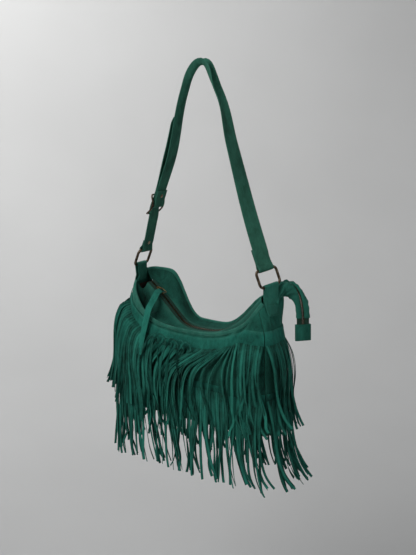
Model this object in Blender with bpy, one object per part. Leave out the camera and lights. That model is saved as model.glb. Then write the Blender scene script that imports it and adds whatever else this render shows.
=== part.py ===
"""Fringed suede shoulder bag, hung by its strap.

Metres, +Z up, +X along the bag to the right, -Y the front. The origin is
under the top bend of the shoulder strap, where a hook holds it.
"""
import math

import bmesh
import bpy
import numpy as np

# Body of the bag
BODY_LENGTH = 0.400
BASE_LENGTH = 0.374
FRONT_DEPTH = 0.075
BACK_DEPTH = 0.056
BODY_HEIGHT = 0.305
HANG_DROP = 0.465
TAB_SPAN = 0.336
BAG_TILT = 0.045
TAB_TURN = math.radians(33)
END_POWER = 14.0
SIDE_POWER = 3.0
SUEDE = 0.0018
SEAM_GAP = 0.0003
FLAT_LIMIT = 0.00004
LINING_INSET = 0.0068
LINING_THICKNESS = 0.0008
LINING_DROP = 0.034
LINING_SEAT = 0.0014
LINING_FLOOR = 0.004
LINING_FRONT = 12
LINING_END = 4
ROLLED_EDGE = 0.009
ROLLED_WIDTH = 0.0052
ROLL_GAP = 0.0018
FRONT_SAG = 0.099
FRONT_CORNER_DROP = 0.025
BACK_SAG = 0.101
BACK_LEFT_SHOULDER = (0.22, 0.70)
BACK_RIGHT_SHOULDER = (0.12, 0.92)

# Fringe
STRIP_WIDTH = 0.005
STRIP_LENGTH = 0.203
STRIP_THICKNESS = 0.0012
FRONT_STRIPS = 31
SIDE_STRIPS = 9
UPPER_CUT_DROP = 0.105
RIM_TO_CUT = 0.027
LEFT_CUT_RISE = 0.044
LEFT_RISE_END = -0.45
UPPER_BAND = 0.030
LOWER_CUT_DROP = 0.219
LOWER_BAND = 0.016
BAND_CLEARANCE = 0.0008
SEWN_GAP = 0.0015
UPPER_FALL = 0.0042
UPPER_SPREAD = 0.0035
LOWER_SPREAD = {"front": 0.011, "back": 0.011, "left": 0.030, "right": 0.052}
SPREAD_START = 0.47
LENGTH_CHANGE = 0.008

# Straps
STRAP_WIDTH = 0.036
STRAP_THICKNESS = 0.0024
LAYER_GAP = 0.0004
STRAP_FOLD = 0.046
BUCKLE_FOLD = 0.036
BILLET_FOLD = 0.024
SLOT_WIDTH = 0.005
TAB_WIDTH = 0.034
TAB_THICKNESS = 0.0020
TAB_LENGTH = 0.042
TAB_INSIDE = 0.016
TAB_SEAT = 0.0011

# Rings
RING_INNER = 0.044
RING_BARS = 0.038
RING_WIRE = 0.0060
RING_CORNER = 0.0055
RING_LEAN = math.radians(21.7)

# Where a folded end has its bends, as shares of the lead above the bar
LOOP_LEAD = 0.026
LOOP_SHARES = (1.0, 0.80, 0.58, 0.36, 0.15)
RIVET_UP = (LOOP_SHARES[0] + LOOP_SHARES[1]) / 2 * LOOP_LEAD

# Buckle and rivets
BUCKLE_ABOVE_TABS = 0.161
BUCKLE_INNER = 0.040
BUCKLE_BARS = 0.046
BUCKLE_WIRE = 0.0038
BUCKLE_ARCH = 0.0106
BUCKLE_CORNER = 0.0055
PIN_BAR = 0.0036
TONGUE_WIRE = 0.0022
BILLET_TAIL_DROP = 0.098
BILLET_LEAD = 0.020
RIVET_HEAD = 0.0042
RIVET_FLAT = 0.0006
RIVET_DOME = 0.0014
RIVET_SHANK = 0.0015

# Zip
ZIP_SLOT = 0.0020
TEETH_WIDTH = 0.0023
TEETH_THICKNESS = 0.0024
TAPE_WIDTH = 0.0095
TAPE_THICKNESS = 0.0008
FACING_THICKNESS = 0.0014
FACING_GAP = 0.0009
FACING_SEAT = 0.0016
SLIDER_LENGTH = 0.0120
SLIDER_WIDTH = 0.0110
SLIDER_PLATE = 0.0013
SLIDER_WEB = 0.0012
SLIDER_CLEARANCE = 0.0005
CROWN_REACH = 0.0038
CROWN_RISE = 0.0042
CROWN_WIDTH = 0.0024
CROWN_THICKNESS = 0.0014
PULLER_LENGTH = 0.0170
PULLER_WIDTH = 0.0150
PULLER_WIRE = 0.0016
PULL_WIDTH = 0.012
PULL_THICKNESS = 0.0016
TAIL_TURN = math.radians(50)
TAIL_TURN_REACH = 0.036
TAIL_TURN_DROPS = (-0.015, 0.035)
END_TAB_WIDTH = 0.034
END_TAB_LENGTH = 0.036

# Profiles: (height above the base as a share of BODY_HEIGHT, share of the length or depth)
LENGTH_PROFILE = [(0.22, 1.0), (0.45, 0.99), (0.72, 0.93)]
FRONT_PROFILE = [(0.0, 0.76), (0.12, 0.90), (0.26, 0.985), (0.42, 1.0), (0.55, 0.91), (0.68, 0.74),
                 (0.87, 0.54), (1.0, 0.36)]
BACK_PROFILE = [(0.0, 0.84), (0.15, 0.96), (0.35, 1.0), (0.7, 0.95), (0.95, 0.86), (1.0, 0.80)]

# Middle of the closed zip, its height from the tabs' tops, before the bag tilts
ZIP_STRAIGHT = [(-0.1275, -0.031), (-0.0515, -0.1025)]
ZIP_LEFT_END = (-0.1405, 0.0, -0.0215)
ZIP_ROUTE = [(-0.030, 0.0, -0.1095), (0.010, 0.0, -0.11), (0.045, 0.001, -0.105),
             (0.080, 0.006, -0.087), (0.110, 0.013, -0.059), (0.134, 0.023, -0.025),
             (0.157, 0.037, 0.004), (0.179, 0.045, 0.015), (0.200, 0.048, 0.011),
             (0.214, 0.049, -0.011), (0.2205, 0.050, -0.047), (0.2215, 0.051, -0.08)]

# Middle of the strap's legs: (across, height) under the hook
RIGHT_LEG = [(0.0055, 0.0012), (0.0125, -0.019), (0.0345, -0.062), (0.058, -0.121), (0.1125, -0.300)]
LEFT_LEG = [(-0.0055, 0.0012), (-0.0225, -0.018), (-0.038, -0.052), (-0.0525, -0.098), (-0.078, -0.190)]

# Suede pull: from the puller, over the front rim and down the front
PULL_ROUTE = [(-0.107, -0.036, -0.0435), (-0.1065, -0.050, -0.055), (-0.106, -0.0605, -0.0645),
              (-0.106, -0.068, -0.08), (-0.108, -0.080, -0.117), (-0.114, -0.090, -0.163)]

BASE_HEIGHT = -(HANG_DROP + BODY_HEIGHT)
SEAM_X = 0.5 ** (1 / END_POWER)
SEAM_Y = 0.5 ** (1 / SIDE_POWER)
TWIST_HEIGHT = 0.085
TWIST_REACH = 0.080
RING_HANG = 0.0075
TAB_COLUMNS = (-0.5, -0.25, 0.0, 0.25, 0.5)
TAB_X = TAB_SPAN / 2


def clear_scene():
    for thing in list(bpy.data.objects):
        bpy.data.objects.remove(thing, do_unlink=True)


def material(name, colour, roughness, metallic=0.0):
    found = bpy.data.materials.get(name)
    if found:
        return found
    made = bpy.data.materials.new(name)
    made.use_nodes = True
    shader = made.node_tree.nodes["Principled BSDF"]
    shader.inputs["Base Color"].default_value = (*colour, 1)
    shader.inputs["Roughness"].default_value = roughness
    shader.inputs["Metallic"].default_value = metallic
    return made


def suede():
    return material("green_suede", (0.022, 0.118, 0.083), 0.9)


def fringe_suede():
    return material("fringe_suede", (0.030, 0.140, 0.100), 0.92)


def strap_suede():
    return material("strap_suede", (0.018, 0.096, 0.066), 0.88)


def bronze():
    return material("antique_bronze", (0.125, 0.085, 0.065), 0.38, 1.0)


def brass():
    return material("zip_brass", (0.42, 0.28, 0.12), 0.35, 1.0)


def tape_fabric():
    return material("zip_tape", (0.075, 0.055, 0.035), 0.85)


def lining_fabric():
    return material("brown_lining", (0.085, 0.055, 0.035), 0.8)


def unit(vector):
    vector = np.asarray(vector, float)
    return vector / np.linalg.norm(vector)


def smooth(low, high, value):
    share = min(max((value - low) / (high - low), 0.0), 1.0)
    return share * share * (3 - 2 * share)


def keyed(keys, at):
    """A smooth value at a place between (place, value) keys."""
    places = [k[0] for k in keys]
    values = [k[1] for k in keys]
    at = min(max(at, places[0]), places[-1])
    slopes = np.gradient(values, places)
    i = min(max(np.searchsorted(places, at) - 1, 0), len(keys) - 2)
    span = places[i + 1] - places[i]
    t = (at - places[i]) / span
    start, end = values[i], values[i + 1]
    return (start * (2 * t ** 3 - 3 * t ** 2 + 1) + end * (3 * t ** 2 - 2 * t ** 3)
            + span * slopes[i] * (t ** 3 - 2 * t ** 2 + t) + span * slopes[i + 1] * (t ** 3 - t ** 2))


def resampled(points, step):
    lengths = np.r_[0, np.cumsum(np.linalg.norm(np.diff(points, axis=0), axis=1))]
    places = np.linspace(0, lengths[-1], max(int(round(lengths[-1] / step)), 1) + 1)
    return np.column_stack([np.interp(places, lengths, points[:, axis]) for axis in range(3)])


def through(points, step, spread=12):
    """A smooth curve through the points, with a vertex about every step."""
    points = np.array(points, float)
    ends = np.vstack([2 * points[0] - points[1], points, 2 * points[-1] - points[-2]])
    dense = []
    for a, b, c, d in zip(ends, ends[1:], ends[2:], ends[3:]):
        for t in np.linspace(0, 1, spread, endpoint=False):
            dense.append(0.5 * (2 * b + (c - a) * t + (2 * a - 5 * b + 4 * c - d) * t * t
                                + (3 * b - a - 3 * c + d) * t ** 3))
    dense.append(points[-1])
    return resampled(np.array(dense), step)


# Shape of the bag's wall
def half_length(height):
    share = (height - BASE_HEIGHT) / BODY_HEIGHT
    keys = [(0.0, BASE_LENGTH)] + [(h, BODY_LENGTH * k) for h, k in LENGTH_PROFILE] + [(1.0, TAB_SPAN)]
    return keyed(keys, share) / 2


def half_depth(height, y):
    share = (height - BASE_HEIGHT) / BODY_HEIGHT
    if y < 0:
        return FRONT_DEPTH * keyed(FRONT_PROFILE, share)
    return BACK_DEPTH * keyed(BACK_PROFILE, share)


def wall_point(side, across, height):
    """Place on the wall: across runs from -1 to 1 between the side's two seams."""
    if side in ("front", "back"):
        sign = -1 if side == "front" else 1
        share = SEAM_X * across
        rest = (1 - abs(share) ** END_POWER) ** (1 / SIDE_POWER)
        return np.array([half_length(height) * share, sign * half_depth(height, sign) * rest, height])
    sign = -1 if side == "left" else 1
    share = SEAM_Y * across
    rest = (1 - abs(share) ** SIDE_POWER) ** (1 / END_POWER)
    return np.array([sign * half_length(height) * rest, half_depth(height, across) * share, height])


def fullness(p):
    length, depth = half_length(p[2]), half_depth(p[2], p[1])
    return abs(p[0] / length) ** END_POWER + abs(p[1] / depth) ** SIDE_POWER


def outward(p, step=0.0002):
    slope = [fullness(p + step * axis) - fullness(p - step * axis) for axis in np.eye(3)]
    return unit(slope)


def hung(p):
    """Turns the right tab towards the front and tilts the whole bag."""
    x, y, z = p
    dx = x - TAB_X
    near = 1 - smooth(TAB_WIDTH, TWIST_REACH, math.hypot(dx, y))
    turn = TAB_TURN * near * smooth(-HANG_DROP - TWIST_HEIGHT, -HANG_DROP, z)
    x, y = TAB_X + dx * math.cos(turn) + y * math.sin(turn), -dx * math.sin(turn) + y * math.cos(turn)
    return np.array([x, y, z - BAG_TILT * x])


def on_wall(side, across, height, offset=0.0, plumb=None):
    """Point off the wall; below the height plumb it hangs straight down."""
    base = wall_point(side, across, max(height, plumb) if plumb else height)
    p = base + outward(base) * offset
    p[2] += height - base[2]
    return hung(p)


def rim_height(side, across):
    far = abs(across)
    tab = -HANG_DROP + 0.003
    front_corner = -HANG_DROP - FRONT_CORNER_DROP
    back_left, back_right = -HANG_DROP + 0.005, -HANG_DROP - 0.005
    if side == "front":
        power = 3.6 if across < 0 else 2.5
        return -HANG_DROP - FRONT_SAG + (FRONT_SAG - FRONT_CORNER_DROP) * far ** power
    if side == "back":
        corner = back_left if across < 0 else back_right
        rise = smooth(*(BACK_LEFT_SHOULDER if across < 0 else BACK_RIGHT_SHOULDER), far)
        return -HANG_DROP - BACK_SAG + (corner + HANG_DROP + BACK_SAG) * rise
    corner = front_corner if across < 0 else (back_left if side == "left" else back_right)
    return corner + (tab - corner) * (1 - far ** 1.5)


def under_rim(side, across, distance):
    """Height of a line that runs the distance below the rim, square to its slope."""
    step = 0.05
    places = [max(across - step, -1), min(across + step, 1)]
    a, b = [wall_point(side, p, rim_height(side, p)) for p in places]
    run = np.linalg.norm(b[:2] - a[:2])
    return rim_height(side, across) - distance * min(math.hypot(1, (b[2] - a[2]) / run), 2.6)


# Mesh makers
def split_bent(bm):
    """Splits the four-sided faces that aren't flat, so their shape is stated in full."""
    bent = []
    for face in bm.faces:
        start = face.verts[0].co
        rise = max(abs((corner.co - start).dot(face.normal)) for corner in face.verts)
        if len(face.verts) == 4 and rise > FLAT_LIMIT:
            bent.append(face)
    bmesh.ops.triangulate(bm, faces=bent)


def finish_object(name, bm, paint, rounded=True):
    bm.normal_update()
    split_bent(bm)
    bmesh.ops.recalc_face_normals(bm, faces=bm.faces)
    mesh = bpy.data.meshes.new(name)
    bm.to_mesh(mesh)
    bm.free()
    if rounded:
        mesh.shade_smooth()
        mesh.set_sharp_from_angle(angle=math.radians(40))
    mesh.materials.append(paint)
    made = bpy.data.objects.new(name, mesh)
    bpy.context.scene.collection.objects.link(made)
    return made


def sheet(name, outer, inner, paint, cells=None):
    """Closed thin body between two grids; cells says which grid cells are there."""
    outer, inner = np.asarray(outer), np.asarray(inner)
    rows, columns = outer.shape[:2]
    if cells is None:
        cells = np.ones((rows - 1, columns - 1), bool)
    bm = bmesh.new()
    made = {}

    def vertex(layer, row, column):
        key = (layer, row, column)
        if key not in made:
            made[key] = bm.verts.new((outer, inner)[layer][row, column])
        return made[key]

    def filled(row, column):
        return 0 <= row < rows - 1 and 0 <= column < columns - 1 and cells[row, column]

    for row in range(rows - 1):
        for column in range(columns - 1):
            if not filled(row, column):
                continue
            corners = [(row, column), (row, column + 1), (row + 1, column + 1), (row + 1, column)]
            bm.faces.new([vertex(0, *corner) for corner in corners])
            bm.faces.new([vertex(1, *corner) for corner in reversed(corners)])
            steps = [(-1, 0), (0, 1), (1, 0), (0, -1)]
            for (down, right), a, b in zip(steps, corners, corners[1:] + corners[:1]):
                if not filled(row + down, column + right):
                    bm.faces.new([vertex(0, *b), vertex(0, *a), vertex(1, *a), vertex(1, *b)])
    return finish_object(name, bm, paint)


def thick_sheet(name, middle, thickness, paint, cells=None):
    """Closed body on both sides of a grid of middle points."""
    middle = np.asarray(middle)
    down = np.gradient(middle, axis=0)
    right = np.gradient(middle, axis=1)
    normal = np.cross(down, right)
    normal /= np.linalg.norm(normal, axis=2, keepdims=True)
    half = normal * thickness / 2
    return sheet(name, middle + half, middle - half, paint, cells)


def band(name, middle, across, columns, thickness, paint, holes=()):
    """Strap along a route; across gives its width direction at each point."""
    middle, across = np.asarray(middle), np.asarray(across)
    grid = middle[:, None] + across[:, None] * np.array(columns)[None, :, None]
    along = np.gradient(middle, axis=0)
    normal = np.cross(along, across)
    normal /= np.linalg.norm(normal, axis=1, keepdims=True)
    half = normal[:, None] * thickness / 2
    cells = np.ones((len(middle) - 1, len(columns) - 1), bool)
    for row in holes:
        cells[row, 1] = False
    return sheet(name, grid + half, grid - half, paint, cells)


def rod(name, path, side, width, height, paint, sides=8, closed=False):
    """Sweeps an oval along a path; width lies along side, height across it."""
    path = np.asarray(path, float)
    count = len(path)
    side = np.broadcast_to(np.asarray(side, float), path.shape)
    if closed:
        along = np.roll(path, -1, axis=0) - np.roll(path, 1, axis=0)
    else:
        along = np.gradient(path, axis=0)
    bm = bmesh.new()
    rings = []
    for point, forward, wide in zip(path, along, side):
        forward = unit(forward)
        wide = unit(wide - forward * np.dot(wide, forward))
        tall = np.cross(forward, wide)
        ring = []
        for turn in np.arange(sides) * 2 * math.pi / sides + math.pi / sides:
            place = point + wide * width / 2 * math.cos(turn) + tall * height / 2 * math.sin(turn)
            ring.append(bm.verts.new(place))
        rings.append(ring)
    for i in range(count if closed else count - 1):
        a, b = rings[i], rings[(i + 1) % count]
        for k in range(sides):
            bm.faces.new([a[k], a[(k + 1) % sides], b[(k + 1) % sides], b[k]])
    if not closed:
        bm.faces.new(list(reversed(rings[0])))
        bm.faces.new(rings[-1])
    return finish_object(name, bm, paint)


def turned(name, profile, centre, axis, paint, sides=12):
    """Turns a profile of (radius, height) round an axis; both ends are on the axis."""
    axis = unit(axis)
    first = unit(np.cross(axis, (0.3, 0.9, 0.1)))
    second = np.cross(axis, first)
    bm = bmesh.new()
    rings = []
    for radius, height in profile:
        if radius == 0:
            rings.append([bm.verts.new(centre + axis * height)])
            continue
        turns = np.arange(sides) * 2 * math.pi / sides
        rings.append([bm.verts.new(centre + axis * height
                                   + radius * (first * math.cos(t) + second * math.sin(t)))
                      for t in turns])
    for a, b in zip(rings, rings[1:]):
        for k in range(sides):
            corners = [a[k % len(a)], a[(k + 1) % len(a)], b[(k + 1) % len(b)], b[k % len(b)]]
            bm.faces.new(list(dict.fromkeys(corners)))
    return finish_object(name, bm, paint)


def joined(base, tool):
    """Adds a hidden solid to the base with a Boolean."""
    tool.hide_render = True
    tool.display_type = "WIRE"
    union = base.modifiers.new("join_" + tool.name, "BOOLEAN")
    union.operation = "UNION"
    union.solver = "EXACT"
    union.object = tool
    return base


# Body panels
def panel_places(side):
    """Columns of a panel; the rolled edge above it bends at the same places."""
    if side in ("front", "back"):
        corner = [0.86, 0.92, 0.965, 1.0]
        return np.r_[[-p for p in corner[::-1]], np.linspace(-0.78, 0.78, 13), corner]
    front, back = tab_edge(side, -1), tab_edge(side, 1)
    return np.r_[np.linspace(-1, front, 3), np.linspace(front, back, 5)[1:], np.linspace(back, 1, 3)[1:]]


def tab_edge(side, sign):
    """Place on a gusset's rim where the tab's edge lies."""
    for far in np.linspace(0.2, 0.95, 76):
        if abs(wall_point(side, sign * far, rim_height(side, sign * far))[1]) > TAB_WIDTH / 2 + 0.002:
            return sign * far
    return sign * 0.95


def panel(name, side, rows=10):
    places = panel_places(side)
    trim = 1 - SEAM_GAP / BACK_DEPTH if side in ("left", "right") else 1 - SEAM_GAP / TAB_X
    outer, inner = [], []
    for share in np.linspace(0, 1, rows):
        out_row, in_row = [], []
        for place in places:
            top = under_rim(side, place, ROLLED_EDGE + ROLL_GAP)
            height = BASE_HEIGHT + (top - BASE_HEIGHT) * share
            out_row.append(on_wall(side, place * trim, height))
            in_row.append(on_wall(side, place * trim, height, -SUEDE))
        outer.append(out_row)
        inner.append(in_row)
    return sheet(name, outer, inner, suede())


def base_panel(columns=13, rows=5):
    inset = SUEDE + 0.0006
    outer, inner = [], []
    for across in np.linspace(-1, 1, rows):
        low, high = [], []
        for place in np.linspace(-1, 1, columns):
            front = wall_point("front", place, BASE_HEIGHT)
            back = wall_point("back", place, BASE_HEIGHT)
            x = front[0] * (1 - inset / TAB_X)
            y_front = front[1] + inset
            y_back = back[1] - inset
            y = y_front + (y_back - y_front) * (across + 1) / 2
            low.append(hung((x, y, BASE_HEIGHT + 0.0002)))
            high.append(hung((x, y, BASE_HEIGHT + SUEDE)))
        outer.append(low)
        inner.append(high)
    return sheet("base_panel", outer, inner, suede())


def around_wall(front_count, side_count):
    """Places all round the wall, from the front left seam."""
    places = [("front", p) for p in np.linspace(-1, 1, front_count, endpoint=False)]
    places += [("right", p) for p in np.linspace(-1, 1, side_count, endpoint=False)]
    places += [("back", p) for p in np.linspace(1, -1, front_count, endpoint=False)]
    places += [("left", p) for p in np.linspace(1, -1, side_count, endpoint=False)]
    return places


def lining():
    """Open-topped bag of lining: its walls and floor are one body."""
    places = around_wall(LINING_FRONT, LINING_END)
    outer, inner = [], []
    for share in np.linspace(1, 0, 6):
        out_row, in_row = [], []
        for side, place in places:
            top = rim_height(side, place) - LINING_DROP
            low = BASE_HEIGHT + LINING_FLOOR
            height = low + (top - low) * share
            inset = SUEDE + LINING_SEAT if share == 1 else LINING_INSET
            raised = LINING_THICKNESS if share == 0 else 0
            out_row.append(on_wall(side, place, height, -inset))
            in_row.append(on_wall(side, place, height + raised, -inset - LINING_THICKNESS))
        outer.append(out_row)
        inner.append(in_row)
    outer, inner = np.array(outer), np.array(inner)
    rows, columns = outer.shape[:2]
    bm = bmesh.new()
    layers = [[[bm.verts.new(p) for p in row] for row in layer] for layer in (outer, inner)]
    for row in range(rows - 1):
        for c in range(columns):
            d = (c + 1) % columns
            a, b = layers
            bm.faces.new([a[row][c], a[row][d], a[row + 1][d], a[row + 1][c]])
            bm.faces.new([b[row][d], b[row][c], b[row + 1][c], b[row + 1][d]])
    for c in range(columns):
        d = (c + 1) % columns
        bm.faces.new([layers[0][0][d], layers[0][0][c], layers[1][0][c], layers[1][0][d]])
    back_start = LINING_FRONT + LINING_END
    for layer in layers:
        ring = layer[-1]
        front = ring[:LINING_FRONT + 1]
        right = ring[LINING_FRONT:back_start + 1]
        back = ring[back_start:back_start + LINING_FRONT + 1][::-1]
        left = ring[back_start + LINING_FRONT:] + ring[:1]
        for k in range(LINING_FRONT):
            bm.faces.new([front[k], front[k + 1], back[k + 1], back[k]])
        bm.faces.new(right)
        bm.faces.new(left)
    return finish_object("lining", bm, lining_fabric())


def rim_places(side):
    """Places along one rim, from the left tab to the right tab."""
    sign = -1 if side == "front" else 1

    def end(gusset):
        return [p for p in panel_places(gusset) if abs(tab_edge(gusset, sign)) - 1e-6 < sign * p < 1]

    left, right = end("left"), end("right")
    places = [("left", p) for p in (left if sign > 0 else left[::-1])]
    places += [(side, p) for p in panel_places(side)]
    return places + [("right", p) for p in (right[::-1] if sign > 0 else right)]


def rim_line(side, drop, offset):
    return [on_wall(s, p, under_rim(s, p, drop), offset) for s, p in rim_places(side)]


def rolled_edge(side):
    line = np.array(rim_line(side, ROLLED_EDGE / 2, -SUEDE / 2))
    out = np.array(rim_line(side, ROLLED_EDGE / 2, 0.01)) - line
    return rod("rolled_edge_" + side, line, out, ROLLED_WIDTH, ROLLED_EDGE, suede())


# Fringe
def cut_height(side, across):
    """Height of the upper row's cuts, under the rim."""
    level = -HANG_DROP - UPPER_CUT_DROP
    if side == "front":
        under_rim = rim_height(side, across) - ROLLED_EDGE - RIM_TO_CUT
        return under_rim if across < 0.35 else min(under_rim, level)
    if side == "back":
        return min(rim_height(side, across) - ROLLED_EDGE - RIM_TO_CUT, level)
    if side == "left":
        return level + LEFT_CUT_RISE * (1 - smooth(-1, LEFT_RISE_END, across))
    return level


def strip_columns(count, reach):
    """Edges of the strips across the side, in pairs."""
    pitch = 2 * reach / count
    edges = []
    for k in range(count):
        middle = -reach + pitch * (k + 0.5)
        edges += [(middle, -1), (middle, 1)]
    return edges


def fringe(side, row):
    """One comb: an uncut band along its top and the strips below it."""
    long_side = side in ("front", "back")
    count = FRONT_STRIPS if long_side else SIDE_STRIPS
    half_size = BODY_LENGTH / 2 if long_side else (FRONT_DEPTH + BACK_DEPTH) / 2
    upper = row == "upper"
    plumb = BASE_HEIGHT + BODY_HEIGHT * (0.30 if upper else 0.22)
    reach = 1 - 0.0028 / half_size
    half_strip = STRIP_WIDTH / 2 / half_size / (SEAM_X if long_side else SEAM_Y)
    spread = LOWER_SPREAD[side]
    steps = [0, 0, 0.22, 0.5, 1] if upper else [0, 0, SPREAD_START, 0.72, 1]
    rows_out, rows_in = [], []
    for index, share in enumerate(steps):
        out_row, in_row = [], []
        for k, (middle, edge) in enumerate(strip_columns(count, reach)):
            cut = cut_height(side, middle) if upper else -HANG_DROP - LOWER_CUT_DROP
            length = STRIP_LENGTH + LENGTH_CHANGE * math.sin(2.4 * (k // 2) + 0.7)
            height = cut - length * share
            offset = BAND_CLEARANCE
            if index == 0:
                offset = SEWN_GAP
                height = cut + (UPPER_BAND if upper else LOWER_BAND)
                if upper:
                    height = min(height, under_rim(side, middle, ROLLED_EDGE + 0.0035))
            if upper:
                offset += UPPER_FALL * smooth(0, 0.3, share) + UPPER_SPREAD * smooth(0.3, 1, share)
            else:
                offset += spread * smooth(SPREAD_START, 1, share)
            place = middle + edge * half_strip
            out_row.append(on_wall(side, place, height, offset + STRIP_THICKNESS, plumb))
            in_row.append(on_wall(side, place, height, offset, plumb))
        rows_out.append(out_row)
        rows_in.append(in_row)
    cells = np.zeros((len(steps) - 1, 2 * count - 1), bool)
    cells[0] = True
    cells[1:, ::2] = True
    return sheet("fringe_" + row + "_" + side, rows_out, rows_in, fringe_suede(), cells)


# Rings, tabs and straps
class Frame:
    """Local axes at a ring or buckle: wide across the strap, up along it, out of its face."""

    def __init__(self, centre, up, wide):
        self.centre = np.asarray(centre, float)
        self.up = unit(up)
        self.wide = unit(np.asarray(wide, float) - self.up * np.dot(wide, self.up))
        self.out = np.cross(self.wide, self.up)

    def at(self, up=0.0, out=0.0, wide=0.0):
        return self.centre + self.up * up + self.out * out + self.wide * wide


def ring_frame(side):
    """Axes at a ring's low bar; out points away from the bag's middle."""
    sign = -1 if side == "left" else 1
    turn = TAB_TURN if side == "right" else 0.0
    low_bar = (sign * (TAB_X + 0.001), 0, -HANG_DROP + 0.0155 - sign * RING_HANG)
    up = (-sign * math.sin(RING_LEAN), 0, math.cos(RING_LEAN))
    wide = (sign * math.sin(turn), sign * math.cos(turn), 0)
    return Frame(low_bar, up, wide)


def rounded_loop(half_wide, low, high, corner, turns=3):
    """Closed outline of a rectangle with round corners, as (wide, up) places."""
    places = []
    corners = [(half_wide - corner, high - corner, 0), (-half_wide + corner, high - corner, 90),
               (-half_wide + corner, low + corner, 180), (half_wide - corner, low + corner, 270)]
    for wide, up, start in corners:
        for angle in np.radians(np.linspace(start, start + 90, turns)):
            places.append((wide + corner * math.cos(angle), up + corner * math.sin(angle)))
    return places


def ring(side):
    frame = ring_frame(side)
    half = (RING_INNER + RING_WIRE) / 2
    places = rounded_loop(half, 0, RING_BARS, RING_CORNER)
    path = [frame.at(up, 0, wide) for wide, up in places]
    made = rod("ring_" + side, path, frame.out, RING_WIRE, RING_WIRE, bronze(), 8, True)
    move_origin(made, frame.centre)
    return made


def move_origin(made, place):
    """Puts an object's origin on its joint without moving its mesh."""
    place = np.asarray(place, float)
    for vertex in made.data.vertices:
        vertex.co = np.array(vertex.co) - place
    made.location = place


def loop_route(frame, bar, thickness, fold, lead=LOOP_LEAD, sign=1, turns=6):
    """Middle of a layer that comes down outside a bar and folds back up inside.

    Its two layers lie together from the share LOOP_SHARES[1] of the lead upwards.
    """
    around = bar / 2 + thickness / 2 + LAYER_GAP
    close = thickness / 2 + LAYER_GAP / 2

    def reach(up):
        return close + (around - close) * (1 - smooth(0.15 * lead, 0.6 * lead, up))

    ups = [share * lead for share in LOOP_SHARES]
    outside = [frame.at(up, sign * reach(up)) for up in ups]
    bend = [frame.at(-around * math.sin(angle), sign * around * math.cos(angle))
            for angle in np.linspace(0, math.pi, turns + 1)]
    inside = [frame.at(up, -sign * reach(up)) for up in ups[::-1] + [fold]]
    return outside + bend + inside


def rows_between(route, frame, low, high, reach=0.008):
    """Rows of a strap whose cells lie between two heights at a bar, for a slot or a hole."""
    ups = [np.dot(p - frame.centre, frame.up) for p in route]
    near = [np.linalg.norm(p - frame.at(up)) < reach for p, up in zip(route, ups)]
    return [k for k in range(len(route) - 1) if near[k] and near[k + 1]
            and min(ups[k], ups[k + 1]) > low and max(ups[k], ups[k + 1]) < high]


def widths(route, start, end):
    """Width directions along a route, turning evenly from start to end."""
    along = np.gradient(np.asarray(route), axis=0)
    result = []
    for k, forward in enumerate(along):
        share = smooth(0, 1, k / (len(along) - 1))
        wide = np.asarray(start) * (1 - share) + np.asarray(end) * share
        forward = unit(forward)
        result.append(unit(wide - forward * np.dot(wide, forward)))
    return result


def strap_columns(width, slot=SLOT_WIDTH):
    return [-width / 2, -slot / 2, slot / 2, width / 2]


def buckle_frame_axes():
    """Axes at the buckle's middle bar; out points away from the bag's middle."""
    leg = np.array([(x, 0, z) for x, z in LEFT_LEG])
    top_bar = ring_frame("left").at(RING_BARS)
    height = BUCKLE_ABOVE_TABS - HANG_DROP
    share = (leg[-1][2] - height) / (leg[-1][2] - top_bar[2])
    centre = leg[-1] + (top_bar - leg[-1]) * share - np.array([0.0012, 0, 0])
    centre[2] = height
    up = leg[-1] - top_bar
    return Frame(centre, up, (0, -1, 0))


def leg_points(points):
    return [np.array([x, 0.0, z]) for x, z in points]


def shoulder_strap():
    """Right ring, over the hook, down the left leg and round the buckle's bar."""
    right, left = ring_frame("right"), buckle_frame_axes()
    top_bar = Frame(right.at(RING_BARS), right.up, right.wide)
    start = loop_route(top_bar, RING_WIRE, STRAP_THICKNESS, STRAP_FOLD)[::-1]
    end = loop_route(left, PIN_BAR, STRAP_THICKNESS, BUCKLE_FOLD)
    crown = [np.array([0.0, 0, STRAP_THICKNESS / 2 + 0.0030])]
    middle = leg_points(RIGHT_LEG[::-1]) + crown + leg_points(LEFT_LEG)
    run = through([start[-1]] + middle + [end[0]], 0.016)
    # The crown is the strap's highest place; its underside rests on the hook
    run[:, 2] -= max(run[:, 2]) - STRAP_THICKNESS / 2
    run[:, 2][0], run[:, 2][-1] = start[-1][2], end[0][2]
    route = start + list(run[1:-1]) + end
    wide_start = [right.wide] * len(start)
    front = np.array([0, 1.0, 0])
    top = int(np.argmax(run[:, 2]))
    wide_run = widths(run[:top + 1], right.wide, front) + [front] * (len(run) - top - 1)
    wide_end = [front] * len(end)
    wide = wide_start + list(wide_run[1:-1]) + wide_end
    slot = rows_between(route, left, -0.010, 0.6 * LOOP_LEAD)
    rivet_hole = rows_between(route, left, 0.78 * LOOP_LEAD, 1.05 * LOOP_LEAD)
    return band("shoulder_strap", route, wide, strap_columns(STRAP_WIDTH), STRAP_THICKNESS,
                strap_suede(), slot + rivet_hole)


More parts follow.
